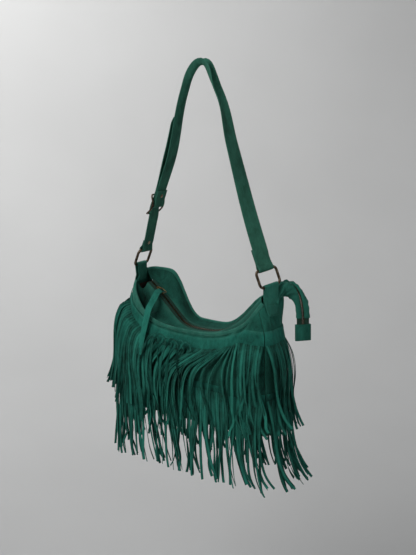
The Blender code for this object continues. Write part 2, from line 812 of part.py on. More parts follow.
def billet_strap():
    """Left ring, through the buckle and up along the outside of the long strap."""
    left, buckle = ring_frame("left"), buckle_frame_axes()
    top_bar = Frame(left.at(RING_BARS), left.up, left.wide)
    start = loop_route(top_bar, RING_WIRE, STRAP_THICKNESS, BILLET_FOLD, BILLET_LEAD, -1)[::-1]
    wrap = PIN_BAR / 2 + 1.5 * STRAP_THICKNESS + 3 * LAYER_GAP
    close = 1.5 * STRAP_THICKNESS + 2 * LAYER_GAP + RIVET_FLAT
    through_buckle = [buckle.at(up, out) for up, out in
                      [(-0.048, 0.0008), (-0.026, 0.0030), (-0.013, wrap), (-0.004, wrap + 0.0006),
                       (0.004, wrap + 0.0006), (0.014, close + 0.0010), (0.024, close + 0.0003)]]
    side = np.array([0, 1.0, 0])
    tail = []
    leg = through([buckle.at(0.026)] + leg_points(LEFT_LEG[::-1]), 0.014)
    along = np.gradient(leg, axis=0)
    for point, forward in zip(leg, along):
        if point[2] > -BILLET_TAIL_DROP:
            break
        out = unit(np.cross(side, unit(forward)))
        out = out if out[0] < 0 else -out
        tail.append(point + out * close)
    route = start + [p for p in through([start[-1]] + through_buckle + tail[1:], 0.0085)[1:]]
    wide = [side] * len(route)
    tongue_hole = rows_between(route, buckle, -0.024, 0.004, 0.012)
    rivet_hole = rows_between(route, top_bar, 0.78 * BILLET_LEAD, 1.05 * BILLET_LEAD)
    return band("billet_strap", route, wide, strap_columns(STRAP_WIDTH), STRAP_THICKNESS,
                strap_suede(), tongue_hole + rivet_hole)


def buckle():
    frame = buckle_frame_axes()
    half = (BUCKLE_INNER + BUCKLE_WIRE) / 2
    bars = BUCKLE_BARS / 2
    outline = rounded_loop(half, -bars, bars, BUCKLE_CORNER)
    outline = np.array([(wide, up, 0) for wide, up in outline + outline[:1]])
    path = [frame.at(up, BUCKLE_ARCH * (up / bars) ** 2, wide)
            for wide, up, flat in resampled(outline, 0.006)[:-1]]
    made = rod("buckle_frame", path, frame.out, BUCKLE_WIRE, BUCKLE_WIRE, bronze(), 8, True)
    bar = rod("buckle_bar", [frame.at(0, 0, -half), frame.at(0, 0, half)], frame.out,
              PIN_BAR, PIN_BAR, bronze(), 8)
    return joined(made, bar)


def buckle_tongue():
    frame = buckle_frame_axes()
    around = PIN_BAR / 2 + TONGUE_WIRE / 2 + LAYER_GAP
    path = [frame.at(around * math.sin(a), around * math.cos(a))
            for a in np.radians([265, 225, 180, 135, 90, 45, 5])]
    tip = BUCKLE_ARCH + (BUCKLE_WIRE + TONGUE_WIRE) / 2 + LAYER_GAP
    path += [frame.at(-0.007, 0.0060), frame.at(-0.018, tip), frame.at(-BUCKLE_BARS / 2 - 0.001, tip)]
    return rod("buckle_tongue", path, (0, 1, 0), TONGUE_WIRE, TONGUE_WIRE, bronze(), 6)


def rivet(name, centre, axis):
    """Rivet through two layers: a domed head on one face, a flat one on the other."""
    reach = STRAP_THICKNESS + 1.7 * LAYER_GAP
    top = reach + RIVET_DOME
    flat = RIVET_HEAD * 0.8
    profile = [(0, top), (RIVET_HEAD * 0.6, top - 0.0003), (RIVET_HEAD, reach + 0.0005),
               (RIVET_HEAD, reach), (RIVET_SHANK, reach), (RIVET_SHANK, -reach),
               (flat, -reach), (flat, -reach - RIVET_FLAT), (0, -reach - RIVET_FLAT)]
    return turned(name, profile, centre, axis, bronze())


def ring_tab(side):
    """Suede tab: outside leg on the gusset, round the ring's low bar, inside leg."""
    frame = ring_frame(side)
    clear = TAB_THICKNESS / 2 + LAYER_GAP
    top = -HANG_DROP + 0.003 - ROLLED_EDGE

    def leg(offset, drops):
        rows = []
        for drop in drops:
            height = top - drop
            row = []
            for y in TAB_COLUMNS:
                place = y * TAB_WIDTH / half_depth(height, y) / SEAM_Y
                row.append(on_wall(side, place, height, offset))
            rows.append(row)
        return rows

    around = RING_WIRE / 2 + clear
    flip = 1 if side == "right" else -1
    loop = []
    for angle in np.linspace(-0.15, math.pi + 0.15, 8):
        loop.append([frame.at(around * math.sin(angle), around * math.cos(angle),
                              wide * TAB_WIDTH * flip) for wide in TAB_COLUMNS])
    rows = leg(clear + TAB_SEAT, np.linspace(TAB_LENGTH, 0.002, 6)) + loop
    rows += leg(-SUEDE - clear - TAB_SEAT, np.linspace(0.002, TAB_INSIDE, 3))
    return thick_sheet("ring_tab_" + side, rows, TAB_THICKNESS, suede())


# Zip
def from_tabs(points):
    """Places whose heights are given from the tabs' tops."""
    return [np.array([x, y, z - HANG_DROP]) for x, y, z in points]


def zip_line():
    """Middle of the zip: an exactly straight left stretch, then a curve to the tail's end."""
    (x0, z0), (x1, z1) = [(x, z - HANG_DROP) for x, z in ZIP_STRAIGHT]
    straight = [np.array([x0 + (x1 - x0) * t, 0, z0 + (z1 - z0) * t]) for t in np.linspace(0, 1, 4)]
    left = through(from_tabs([ZIP_LEFT_END]) + straight[:1], 0.02)[:-1]
    rest = through(straight[-1:] + from_tabs(ZIP_ROUTE), 0.019)[1:]
    points = list(left) + straight + list(rest)
    return np.array([np.array([x, y, z - BAG_TILT * x]) for x, y, z in points])


def zip_widths(line):
    """Direction across the zip; its tail turns to face the front as it hangs."""
    start, end = TAIL_TURN_DROPS
    reach = TAB_X + TAIL_TURN_REACH
    turns = [TAIL_TURN * smooth(TAB_X, reach, x) * smooth(start, end, -HANG_DROP - z) for x, y, z in line]
    return np.array([(math.sin(turn), math.cos(turn), 0) for turn in turns])


def zip_parts():
    line = zip_line()
    across = zip_widths(line)
    for side, sign in (("front", -1), ("back", 1)):
        inner = ZIP_SLOT / 2
        middle = inner + TEETH_WIDTH / 2
        teeth = sorted([sign * (middle - TEETH_WIDTH / 2), sign * (middle + TEETH_WIDTH / 2)])
        band("zip_teeth_" + side, line, across, teeth, TEETH_THICKNESS, brass())
        start = inner + TEETH_WIDTH + SEAM_GAP
        tape = sorted([sign * start, sign * (start + TAPE_WIDTH)])
        band("zip_tape_" + side, line, across, tape, TAPE_THICKNESS, tape_fabric())


def zip_panel(side):
    """Suede facing between the rim and the zip tape."""
    sign = -1 if side == "front" else 1
    count = 16
    places = [("left", sign * 0.72), ("left", sign * 0.95)]
    places += [(side, p) for p in np.linspace(-0.93, 0.93, count)]
    places += [("right", sign * 0.95), ("right", sign * 0.72)]
    seat = -SUEDE - FACING_THICKNESS / 2 - FACING_SEAT
    rim = np.array([on_wall(s, p, under_rim(s, p, ROLLED_EDGE + 0.004), seat) for s, p in places])
    line = zip_line()
    inside = line[line[:, 0] < TAB_X - 0.022]
    inside = resampled(inside, 0.001)
    shares = np.linspace(0, 1, len(places))
    picks = np.array([inside[int(round(s * (len(inside) - 1)))] for s in shares])
    reach = ZIP_SLOT / 2 + TEETH_WIDTH + SEAM_GAP + TAPE_WIDTH + FACING_GAP
    edge = picks + np.array([0, sign * reach, 0])
    middle = (rim + edge) / 2 - np.array([0, 0, 0.003])
    grid = np.stack([rim, middle, edge], axis=1)
    return thick_sheet("zip_panel_" + side, grid, FACING_THICKNESS, suede())


def slider_axes():
    (x0, z0), (x1, z1) = [(x, z - HANG_DROP) for x, z in ZIP_STRAIGHT]
    start = np.array([x0, 0, z0 - BAG_TILT * x0])
    end = np.array([x1, 0, z1 - BAG_TILT * x1])
    up = unit(end - start)
    return Frame(start + up * 0.004, up, (0, 1, 0))


def zip_slider():
    """Two plates joined by a web that runs in the slot, with a crown for the puller."""
    frame = slider_axes()
    half_wide, web = SLIDER_WIDTH / 2, SLIDER_WEB / 2
    inner = TEETH_THICKNESS / 2 + SLIDER_CLEARANCE
    outer = inner + SLIDER_PLATE
    outline = [(-half_wide, outer), (-half_wide, inner), (-web, inner), (-web, -inner),
               (-half_wide, -inner), (-half_wide, -outer), (half_wide, -outer),
               (half_wide, -inner), (web, -inner), (web, inner), (half_wide, inner),
               (half_wide, outer)]
    bm = bmesh.new()
    ends = [[bm.verts.new(frame.at(up, out, wide)) for wide, out in outline]
            for up in (0, SLIDER_LENGTH)]
    for k in range(len(outline)):
        j = (k + 1) % len(outline)
        bm.faces.new([ends[0][k], ends[0][j], ends[1][j], ends[1][k]])
    bm.faces.new(list(reversed(ends[0])))
    bm.faces.new(ends[1])
    made = finish_object("zip_slider", bm, brass(), False)
    face = zip_face(frame)
    foot = outer - SLIDER_PLATE / 2
    path = [frame.at(SLIDER_LENGTH / 2 - CROWN_REACH * math.cos(a), face * (foot + CROWN_RISE * math.sin(a)))
            for a in np.radians(np.linspace(0, 180, 7))]
    crown = rod("slider_crown", path, frame.wide, CROWN_WIDTH, CROWN_THICKNESS, brass(), 6)
    return joined(made, crown)


def zip_face(frame):
    """Which way out of the slider's frame points up."""
    return 1 if frame.out[2] > 0 else -1


def puller_frame():
    slider = slider_axes()
    face = zip_face(slider)
    outer = TEETH_THICKNESS / 2 + SLIDER_CLEARANCE + SLIDER_PLATE
    hinge = slider.at(SLIDER_LENGTH / 2, face * (outer + PULLER_WIRE / 2 + 0.0005))
    lift = math.radians(12)
    up = slider.up * math.cos(lift) + slider.out * face * math.sin(lift)
    return Frame(hinge, up, (0, 1, 0))


def zip_puller():
    frame = puller_frame()
    path = [frame.at(up, 0, wide) for wide, up in
            rounded_loop(PULLER_WIDTH / 2, 0, PULLER_LENGTH, 0.002)]
    made = rod("zip_puller", path, frame.out, PULLER_WIRE, PULLER_WIRE, brass(), 6, True)
    move_origin(made, frame.centre)
    return made


def zip_pull():
    """Suede strip folded round the puller's front side and laid over the front rim."""
    frame = puller_frame()
    bar = Frame(frame.at(PULLER_LENGTH / 2) - frame.wide * PULLER_WIDTH / 2, -frame.wide, frame.up)
    top = 1 if bar.out[2] > 0 else -1
    loop = loop_route(bar, PULLER_WIRE, PULL_THICKNESS, 0.016, 0.012, top)[::-1]
    run = through([loop[-1]] + from_tabs(PULL_ROUTE), 0.012)[1:]
    route = loop + list(run)
    wide = [bar.wide] * len(loop) + widths(run, bar.wide, (1, 0, -0.1))
    half = PULL_WIDTH / 2
    return band("zip_pull", route, wide, [-half, half], PULL_THICKNESS, strap_suede())


def end_tab():
    """Suede tab folded over the end of the zip's tail."""
    line = zip_line()
    down = unit(line[-1] - line[-2])
    frame = Frame(line[-1] - down * 0.010, -down, zip_widths(line)[-1])
    gap = TEETH_THICKNESS / 2 + TAB_THICKNESS / 2 + LAYER_GAP
    length = END_TAB_LENGTH
    route = [frame.at(-up, gap) for up in np.linspace(0, length - gap, 4)]
    route += [frame.at(-(length - gap) - gap * math.sin(a), gap * math.cos(a))
              for a in np.radians([30, 60, 90, 120, 150])]
    route += [frame.at(-up, -gap) for up in np.linspace(length - gap, 0, 4)]
    half = END_TAB_WIDTH / 2
    return band("zip_end_tab", route, [frame.wide] * len(route), [-half, half], TAB_THICKNESS, suede())


def build():
    clear_scene()
    panel("front_panel", "front")
    panel("back_panel", "back")
    panel("gusset_left", "left")
    panel("gusset_right", "right")
    base_panel()
    lining()
    for side in ("front", "back"):
        rolled_edge(side)
        zip_panel(side)
    for row in ("upper", "lower"):
        for side in ("front", "right", "back", "left"):
            fringe(side, row)
    for side in ("left", "right"):
        ring(side)
        ring_tab(side)
    shoulder_strap()
    billet_strap()
    buckle()
    buckle_tongue()
    buckle_axes, ring_axes = buckle_frame_axes(), ring_frame("left")
    rivet("strap_rivet", buckle_axes.at(RIVET_UP), -buckle_axes.out)
    billet_up = RIVET_UP * BILLET_LEAD / LOOP_LEAD - 0.0002
    rivet("billet_rivet", ring_axes.at(RING_BARS + billet_up), -ring_axes.out)
    zip_parts()
    zip_slider()
    zip_puller()
    zip_pull()
    end_tab()


build()
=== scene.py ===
"""Looks of the fringed suede shoulder bag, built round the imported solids.

Laid out as a Blender add-on: each piece or group has its operator, and the
sizes and colours are properties shown in the sidebar panel.
"""

import math

import bpy
import numpy as np
from bpy.props import FloatProperty, FloatVectorProperty, IntProperty, PointerProperty
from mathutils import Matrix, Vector
from mathutils.kdtree import KDTree


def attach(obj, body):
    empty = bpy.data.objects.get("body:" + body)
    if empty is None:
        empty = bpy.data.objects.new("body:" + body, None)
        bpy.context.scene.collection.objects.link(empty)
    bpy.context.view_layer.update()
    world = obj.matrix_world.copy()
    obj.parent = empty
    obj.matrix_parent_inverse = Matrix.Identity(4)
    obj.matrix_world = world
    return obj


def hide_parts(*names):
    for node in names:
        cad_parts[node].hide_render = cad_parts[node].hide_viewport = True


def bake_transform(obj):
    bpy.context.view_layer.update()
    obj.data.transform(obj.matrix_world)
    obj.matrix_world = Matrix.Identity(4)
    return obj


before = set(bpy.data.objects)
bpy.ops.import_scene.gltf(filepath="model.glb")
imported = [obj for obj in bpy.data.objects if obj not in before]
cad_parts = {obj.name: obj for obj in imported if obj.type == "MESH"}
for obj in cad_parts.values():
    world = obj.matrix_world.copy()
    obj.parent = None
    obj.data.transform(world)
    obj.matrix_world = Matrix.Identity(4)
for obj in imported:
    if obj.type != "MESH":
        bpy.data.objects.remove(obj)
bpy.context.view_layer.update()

bl_info = {
    "name": "Fringed suede bag",
    "version": (1, 0, 0),
    "blender": (4, 5, 0),
    "location": "View3D > Sidebar > Fringed bag",
    "description": "Suede body, fringe, straps, zip and fittings of a hung shoulder bag",
    "category": "Object",
}

# Sizes shared with the solids
BODY_LENGTH = 0.400
BASE_LENGTH = 0.374
FRONT_DEPTH = 0.075
BACK_DEPTH = 0.056
BODY_HEIGHT = 0.305
HANG_DROP = 0.465
TAB_SPAN = 0.336
BAG_TILT = 0.045
TAB_TURN = math.radians(33)
END_POWER = 14.0
SIDE_POWER = 3.0
SUEDE = 0.0018
ROLLED_EDGE = 0.009
ROLLED_WIDTH = 0.0052
LIP_AT = 0.13
LIP_REACH = 0.09
FRONT_SAG = 0.099
FRONT_CORNER_DROP = 0.025
BACK_SAG = 0.101
BACK_LEFT_SHOULDER = (0.22, 0.70)
BACK_RIGHT_SHOULDER = (0.12, 0.92)
UPPER_CUT_DROP = 0.105
RIM_TO_CUT = 0.027
LEFT_CUT_RISE = 0.044
LEFT_RISE_END = -0.45
UPPER_BAND = 0.030
LOWER_CUT_DROP = 0.219
LOWER_BAND = 0.016
STRAP_WIDTH = 0.036
STRAP_THICKNESS = 0.0024
LAYER_GAP = 0.0004
STRAP_FOLD = 0.046
BUCKLE_FOLD = 0.036
BILLET_FOLD = 0.024
TAB_WIDTH = 0.034
TAB_THICKNESS = 0.0020
TAB_LENGTH = 0.042
TAB_INSIDE = 0.016
TAB_SEAT = 0.0011
RING_INNER = 0.044
RING_BARS = 0.038
RING_WIRE = 0.0060
RING_TURN = 0.0085
RING_LEAN = math.radians(21.7)
LOOP_LEAD = 0.026
LOOP_SHARES = (1.0, 0.80, 0.58, 0.36, 0.15)
STRAP_BEND = (0.015, 0.070)
BILLET_BEND = (0.027, 0.080)
BUCKLE_FROM_HOOK = 0.304
BUCKLE_INNER = 0.040
BUCKLE_BARS = 0.046
BUCKLE_WIRE = 0.0038
BUCKLE_ARCH = 0.0106
BUCKLE_CORNER = 0.0055
PIN_BAR = 0.0036
TONGUE_WIRE = 0.0022
BILLET_TAIL_DROP = 0.098
BILLET_LEAD = 0.020
RIVET_UP = (LOOP_SHARES[0] + LOOP_SHARES[1]) / 2 * LOOP_LEAD
RIVET_HEAD = 0.0042
RIVET_FLAT = 0.0006
ZIP_SLOT = 0.0020
TEETH_WIDTH = 0.0023
TEETH_THICKNESS = 0.0024
TAPE_WIDTH = 0.0095
SEAM_GAP = 0.0003
FACING_GAP = 0.0009
FACING_THICKNESS = 0.0014
FACING_SEAT = 0.0016
MOUTH_HOLLOW = {"front": 0.040, "back": 0.008}
HOLLOW_AT = 0.09
HOLLOW_REACH = 0.08
LINING_INSET = 0.0068
LINING_THICKNESS = 0.0008
LINING_DROP = 0.034
LINING_SEAT = 0.0014
LINING_FLOOR = 0.004
SLIDER_LENGTH = 0.0120
SLIDER_PLATE = 0.0013
SLIDER_OUTLINE = [(0.0, 0.0040), (0.002, 0.0052), (0.006, 0.0055), (0.010, 0.0050), (0.012, 0.0036)]
SLIDER_CLEARANCE = 0.0005
PULLER_LENGTH = 0.0170
PULLER_WIDTH = 0.0150
PULLER_WIRE = 0.0016
PULL_WIDTH = 0.012
PULL_THICKNESS = 0.0016
TAIL_TURN = math.radians(50)
TAIL_TURN_REACH = 0.036
TAIL_DROP = 0.040
TAIL_TURN_HEIGHTS = (-0.450, -0.500)
END_TAB_WIDTH = 0.034
END_TAB_LENGTH = 0.036
LENGTH_PROFILE = [(0.22, 1.0), (0.45, 0.99), (0.72, 0.93)]
FRONT_PROFILE = [(0.0, 0.76), (0.12, 0.90), (0.26, 0.985), (0.42, 1.0), (0.55, 0.91), (0.68, 0.74),
                 (0.87, 0.54), (1.0, 0.36)]
BACK_PROFILE = [(0.0, 0.84), (0.15, 0.96), (0.35, 1.0), (0.7, 0.95), (0.95, 0.86), (1.0, 0.80)]
ZIP_STRAIGHT = [(-0.1275, -0.496), (-0.0515, -0.5675)]
ZIP_LEFT_END = (-0.1405, 0.0, -0.4865)
ZIP_ROUTE = [(-0.030, 0.0, -0.5745), (0.010, 0.0, -0.575), (0.045, 0.001, -0.570),
             (0.080, 0.006, -0.552), (0.110, 0.013, -0.524), (0.134, 0.023, -0.490),
             (0.157, 0.037, -0.461), (0.179, 0.045, -0.450), (0.200, 0.048, -0.454),
             (0.214, 0.049, -0.476), (0.2205, 0.050, -0.512), (0.2215, 0.051, -0.545)]
RIGHT_LEG = [(0.0055, 0.0012), (0.0125, -0.019), (0.0345, -0.062), (0.058, -0.121),
             (0.1125, -0.300)]
LEFT_LEG = [(-0.0055, 0.0012), (-0.0225, -0.018), (-0.038, -0.052), (-0.0525, -0.098),
            (-0.078, -0.190)]
PULL_ROUTE = [(-0.107, -0.036, -0.5085), (-0.1065, -0.050, -0.520), (-0.106, -0.0605, -0.5295),
              (-0.106, -0.068, -0.545), (-0.108, -0.080, -0.582), (-0.114, -0.090, -0.628)]
BASE_HEIGHT = -(HANG_DROP + BODY_HEIGHT)
SEAM_X = 0.5 ** (1 / END_POWER)
SEAM_Y = 0.5 ** (1 / SIDE_POWER)
TWIST_HEIGHT = 0.085
TWIST_REACH = 0.080
RING_HANG = 0.0075
TAB_X = TAB_SPAN / 2
SIDES = ("front", "right", "back", "left")
BAG, RING_LEFT, RING_RIGHT = "bag", "ring_left", "ring_right"
SLIDER, PULLER = "zip_slider", "zip_puller"

# The photograph's camera: turn round the bag, distance, height, pitch, pixels per unit of slope
PHOTO_SIZE = (416, 555)
PHOTO_TURN = math.radians(32.0)
PHOTO_DISTANCE = 1.90
PHOTO_HEIGHT = -0.074
PHOTO_PITCH = math.radians(11.4)
PHOTO_FOCUS = 876.0
HOOK_COLUMN = 203.0


# Small numeric helpers
def unit(v):
    v = np.asarray(v, float)
    return v / np.maximum(np.linalg.norm(v, axis=-1, keepdims=True), 1e-12)


def smooth(low, high, value):
    share = np.clip((np.asarray(value, float) - low) / (high - low), 0.0, 1.0)
    return share * share * (3 - 2 * share)


def keyed(keys, at):
    """A smooth value at a place between (place, value) keys."""
    places = np.array([k[0] for k in keys])
    values = np.array([k[1] for k in keys])
    at = np.clip(at, places[0], places[-1])
    slopes = np.gradient(values, places)
    i = np.clip(np.searchsorted(places, at) - 1, 0, len(keys) - 2)
    span = places[i + 1] - places[i]
    t = (at - places[i]) / span
    return (values[i] * (2 * t ** 3 - 3 * t ** 2 + 1) + values[i + 1] * (3 * t ** 2 - 2 * t ** 3)
            + span * slopes[i] * (t ** 3 - 2 * t ** 2 + t)
            + span * slopes[i + 1] * (t ** 3 - t ** 2))


def resampled(points, step):
    points = np.asarray(points, float)
    lengths = lengths_of(points)
    places = np.linspace(0, lengths[-1], max(int(round(lengths[-1] / step)), 1) + 1)
    return read_at(places, lengths, points)


def read_at(places, lengths, line):
    """Points of a line at places between its lengths."""
    return np.column_stack([np.interp(places, lengths, line[:, axis]) for axis in range(3)])


def lengths_of(line):
    return np.r_[0, np.cumsum(np.linalg.norm(np.diff(line, axis=0), axis=1))]


def through(points, step, spread=12):
    """A smooth curve through the points, with a vertex about every step."""
    points = np.array(points, float)
    ends = np.vstack([2 * points[0] - points[1], points, 2 * points[-1] - points[-2]])
    dense = []
    for a, b, c, d in zip(ends, ends[1:], ends[2:], ends[3:]):
        for t in np.linspace(0, 1, spread, endpoint=False):
            dense.append(0.5 * (2 * b + (c - a) * t + (2 * a - 5 * b + 4 * c - d) * t * t
                                + (3 * b - a - 3 * c + d) * t ** 3))
    dense.append(points[-1])
    return resampled(np.array(dense), step)


def relaxed(points, times):
    """Softens the bends of a route and keeps its ends."""
    points = np.array(points, float)
    for _ in range(times):
        points[1:-1] += 0.5 * ((points[:-2] + points[2:]) / 2 - points[1:-1])
    return points


def waves(seed, count, low, high):
    """A smooth random function of one number, from -1 to 1 or so."""
    rng = np.random.default_rng(seed)
    rates = rng.uniform(low, high, count)
    phases = rng.uniform(0, 2 * math.pi, count)
    sizes = rng.uniform(0.5, 1.0, count)

    def value(at):
        at = np.asarray(at, float)[..., None]
        return (np.sin(at * rates + phases) * sizes).sum(-1) / sizes.sum() * 1.4

    return value


# Shape of the bag's wall, as in the solids
SHARES = np.linspace(0, 1, 401)
LENGTH_TABLE = keyed([(0.0, BASE_LENGTH)] + [(h, BODY_LENGTH * k) for h, k in LENGTH_PROFILE]
                     + [(1.0, TAB_SPAN)], SHARES) / 2
FRONT_TABLE = FRONT_DEPTH * keyed(FRONT_PROFILE, SHARES)
BACK_TABLE = BACK_DEPTH * keyed(BACK_PROFILE, SHARES)


def half_length(height):
    return np.interp((height - BASE_HEIGHT) / BODY_HEIGHT, SHARES, LENGTH_TABLE)


def half_depth(height, y):
    share = (height - BASE_HEIGHT) / BODY_HEIGHT
    return np.where(np.asarray(y) < 0, np.interp(share, SHARES, FRONT_TABLE),
                    np.interp(share, SHARES, BACK_TABLE))


def wall_point(side, across, height):
    across, height = np.broadcast_arrays(np.asarray(across, float), np.asarray(height, float))
    if side in ("front", "back"):
        sign = -1.0 if side == "front" else 1.0
        share = SEAM_X * across
        rest = (1 - np.abs(share) ** END_POWER) ** (1 / SIDE_POWER)
        return np.stack([half_length(height) * share, sign * half_depth(height, sign) * rest,
                         height], -1)
    sign = -1.0 if side == "left" else 1.0
    share = SEAM_Y * across
    rest = (1 - np.abs(share) ** SIDE_POWER) ** (1 / END_POWER)
    return np.stack([sign * half_length(height) * rest, half_depth(height, across) * share,
                     height], -1)


def fullness(p):
    return (np.abs(p[..., 0] / half_length(p[..., 2])) ** END_POWER
            + np.abs(p[..., 1] / half_depth(p[..., 2], p[..., 1])) ** SIDE_POWER)


def outward(p, step=0.0006):
    return unit(np.stack([fullness(p + step * axis) - fullness(p - step * axis)
                          for axis in np.eye(3)], -1))


def hung(p):
    """Turns the right tab towards the front and tilts the whole bag."""
    p = np.asarray(p, float)
    x, y, z = p[..., 0], p[..., 1], p[..., 2]
    dx = x - TAB_X
    near = 1 - smooth(TAB_WIDTH, TWIST_REACH, np.hypot(dx, y))
    turn = TAB_TURN * near * smooth(-HANG_DROP - TWIST_HEIGHT, -HANG_DROP, z)
    x, y = TAB_X + dx * np.cos(turn) + y * np.sin(turn), -dx * np.sin(turn) + y * np.cos(turn)
    return np.stack([x, y, z - BAG_TILT * x], -1)


# Drag folds: (side, from, to, height, width); from and to are (across, height) on that side
FOLDS = [
    ("front", (0.98, -0.478), (0.46, -0.600), 0.0032, 0.0070),
    ("front", (0.97, -0.500), (0.60, -0.598), 0.0026, 0.0055),
    ("front", (0.99, -0.490), (0.54, -0.592), -0.0032, 0.0040),
    ("front", (0.99, -0.474), (0.36, -0.590), -0.0026, 0.0042),
    ("front", (0.99, -0.520), (0.72, -0.640), 0.0020, 0.0080),
    ("front", (-0.99, -0.485), (-0.72, -0.600), 0.0028, 0.0070),
    ("front", (-0.99, -0.500), (-0.84, -0.620), -0.0022, 0.0050),
    ("right", (-0.35, -0.505), (-0.70, -0.600), 0.0014, 0.0060),
    ("right", (0.30, -0.505), (0.75, -0.640), 0.0018, 0.0070),
    ("right", (0.10, -0.520), (0.30, -0.640), -0.0012, 0.0060),
    ("left", (-0.35, -0.500), (-0.72, -0.610), 0.0020, 0.0060),
    ("left", (0.30, -0.500), (0.70, -0.620), 0.0018, 0.0060),
    ("back", (-0.97, -0.480), (-0.62, -0.640), 0.0022, 0.0090),
    ("back", (-0.90, -0.478), (-0.46, -0.600), -0.0018, 0.0070),
    ("back", (0.97, -0.485), (0.60, -0.640), 0.0024, 0.0090),
    ("back", (0.92, -0.480), (0.44, -0.605), -0.0018, 0.0070),
    ("back", (0.40, -0.585), (-0.30, -0.660), 0.0014, 0.0150),
]
SWELL = {side: (waves(40 + k, 5, 2.0, 7.0), waves(60 + k, 5, 20.0, 60.0))
         for k, side in enumerate(SIDES)}


def relief(side, across, height):
    """How far the slouched suede stands off the plain wall."""
    reach = (BODY_LENGTH if side in ("front", "back") else FRONT_DEPTH + BACK_DEPTH) / 2
    across, height = np.broadcast_arrays(np.asarray(across, float), np.asarray(height, float))
    total = (0.0004 * SWELL[side][0](across * 2.2 + 3 * height)
             + 0.0004 * SWELL[side][1](height + 0.1 * across))
    for fold_side, start, end, rise, width in FOLDS:
        if fold_side != side:
            continue
        a = np.array([start[0] * reach, start[1]])
        b = np.array([end[0] * reach, end[1]])
        along = b - a
        length = np.linalg.norm(along)
        along = along / length
        du, dv = across * reach - a[0], height - a[1]
        t = (du * along[0] + dv * along[1]) / length
        away = du * along[1] - dv * along[0]
        away = away - 0.004 * np.sin(np.clip(t, 0, 1) * math.pi)
        spread = width * (0.6 + 0.8 * np.clip(t, 0, 1))
        total = total + rise * np.exp(-(away / spread) ** 2) * smooth(-0.12, 0.15,
                                                                      t) * (1 - smooth(0.6, 1.1, t))
    seam = 1 - smooth(0.90, 1.0, np.abs(across)) * 0.8
    return np.maximum(total * seam, -0.0022)


def on_wall(side, across, height, offset=0.0, plumb=None, folds=0.0):
    """Point off the wall; below the height plumb it hangs straight down."""
    across, height = np.broadcast_arrays(np.asarray(across, float), np.asarray(height, float))
    base = wall_point(side, across, height if plumb is None else np.maximum(height, plumb))
    lift = np.asarray(offset, float)
    if folds:
        lift = lift + folds * relief(side, across, height)
    p = base + outward(base) * (np.zeros(across.shape) + lift)[..., None]
    p[..., 2] += height - base[..., 2]
    return hung(p)


def rim_height(side, across):
    across = np.asarray(across, float)
    far = np.abs(across)
    tab = -HANG_DROP + 0.003
    front_corner = -HANG_DROP - FRONT_CORNER_DROP
    back_left, back_right = -HANG_DROP + 0.005, -HANG_DROP - 0.005
    if side == "front":
        power = np.where(across < 0, 3.6, 2.5)
        return -HANG_DROP - FRONT_SAG + (FRONT_SAG - FRONT_CORNER_DROP) * far ** power
    if side == "back":
        corner = np.where(across < 0, back_left, back_right)
        rise = np.where(across < 0, smooth(*BACK_LEFT_SHOULDER, far),
                        smooth(*BACK_RIGHT_SHOULDER, far))
        return -HANG_DROP - BACK_SAG + (corner + HANG_DROP + BACK_SAG) * rise
    corner = np.where(across < 0, front_corner, back_left if side == "left" else back_right)
    return corner + (tab - corner) * (1 - far ** 1.5)


def under_rim(side, across, distance):
    """Height of a line that runs the distance below the rim, square to its slope."""
    across = np.asarray(across, float)
    low, high = np.maximum(across - 0.05, -1), np.minimum(across + 0.05, 1)
    a = wall_point(side, low, rim_height(side, low))
    b = wall_point(side, high, rim_height(side, high))
    run = np.linalg.norm((b - a)[..., :2], axis=-1)
    slope = np.minimum(np.hypot(1, (b - a)[..., 2] / run), 2.6)
    return rim_height(side, across) - distance * slope


def cut_height(side, across):
    """Height of the upper row's cuts, under the rim."""
    across = np.asarray(across, float)
    level = -HANG_DROP - UPPER_CUT_DROP
    lowered = rim_height(side, across) - ROLLED_EDGE - RIM_TO_CUT
    if side == "front":
        return np.where(across < 0.35, lowered, np.minimum(lowered, level))
    if side == "back":
        return np.minimum(lowered, level)
    if side == "left":
        return level + LEFT_CUT_RISE * (1 - smooth(-1, LEFT_RISE_END, across))
    return np.full(across.shape, level)


# Mesh makers
def shown(name, vertices, faces, paint, smooth_angle=50.0, values=None):
    """Makes an object from arrays; values are named numbers for each vertex."""
    mesh = bpy.data.meshes.new(name)
    mesh.from_pydata(np.asarray(vertices, float).tolist(), [], [list(f) for f in faces])
    for key, data in (values or {}).items():
        layer = mesh.attributes.new(key, "FLOAT", "POINT")
        layer.data.foreach_set("value", np.asarray(data, np.float32).ravel())
    mesh.shade_smooth()
    mesh.set_sharp_from_angle(angle=math.radians(smooth_angle))
    mesh.materials.append(paint)
    made = bpy.data.objects.new(name, mesh)
    bpy.context.scene.collection.objects.link(made)
    return made


def grid_quads(rows, columns, start=0, flip=False):
    r, c = np.mgrid[0:rows - 1, 0:columns - 1]
    a = (start + r * columns + c).ravel()
    quads = np.column_stack([a, a + 1, a + 1 + columns, a + columns])
    return quads[:, ::-1] if flip else quads


def border(rows, columns):
    """Indices round a grid's edge, in order."""
    top = np.arange(columns)
    right = np.arange(1, rows) * columns + columns - 1
    bottom = (rows - 1) * columns + np.arange(columns - 2, -1, -1)
    left = np.arange(rows - 2, 0, -1) * columns
    return np.r_[top, right, bottom, left]


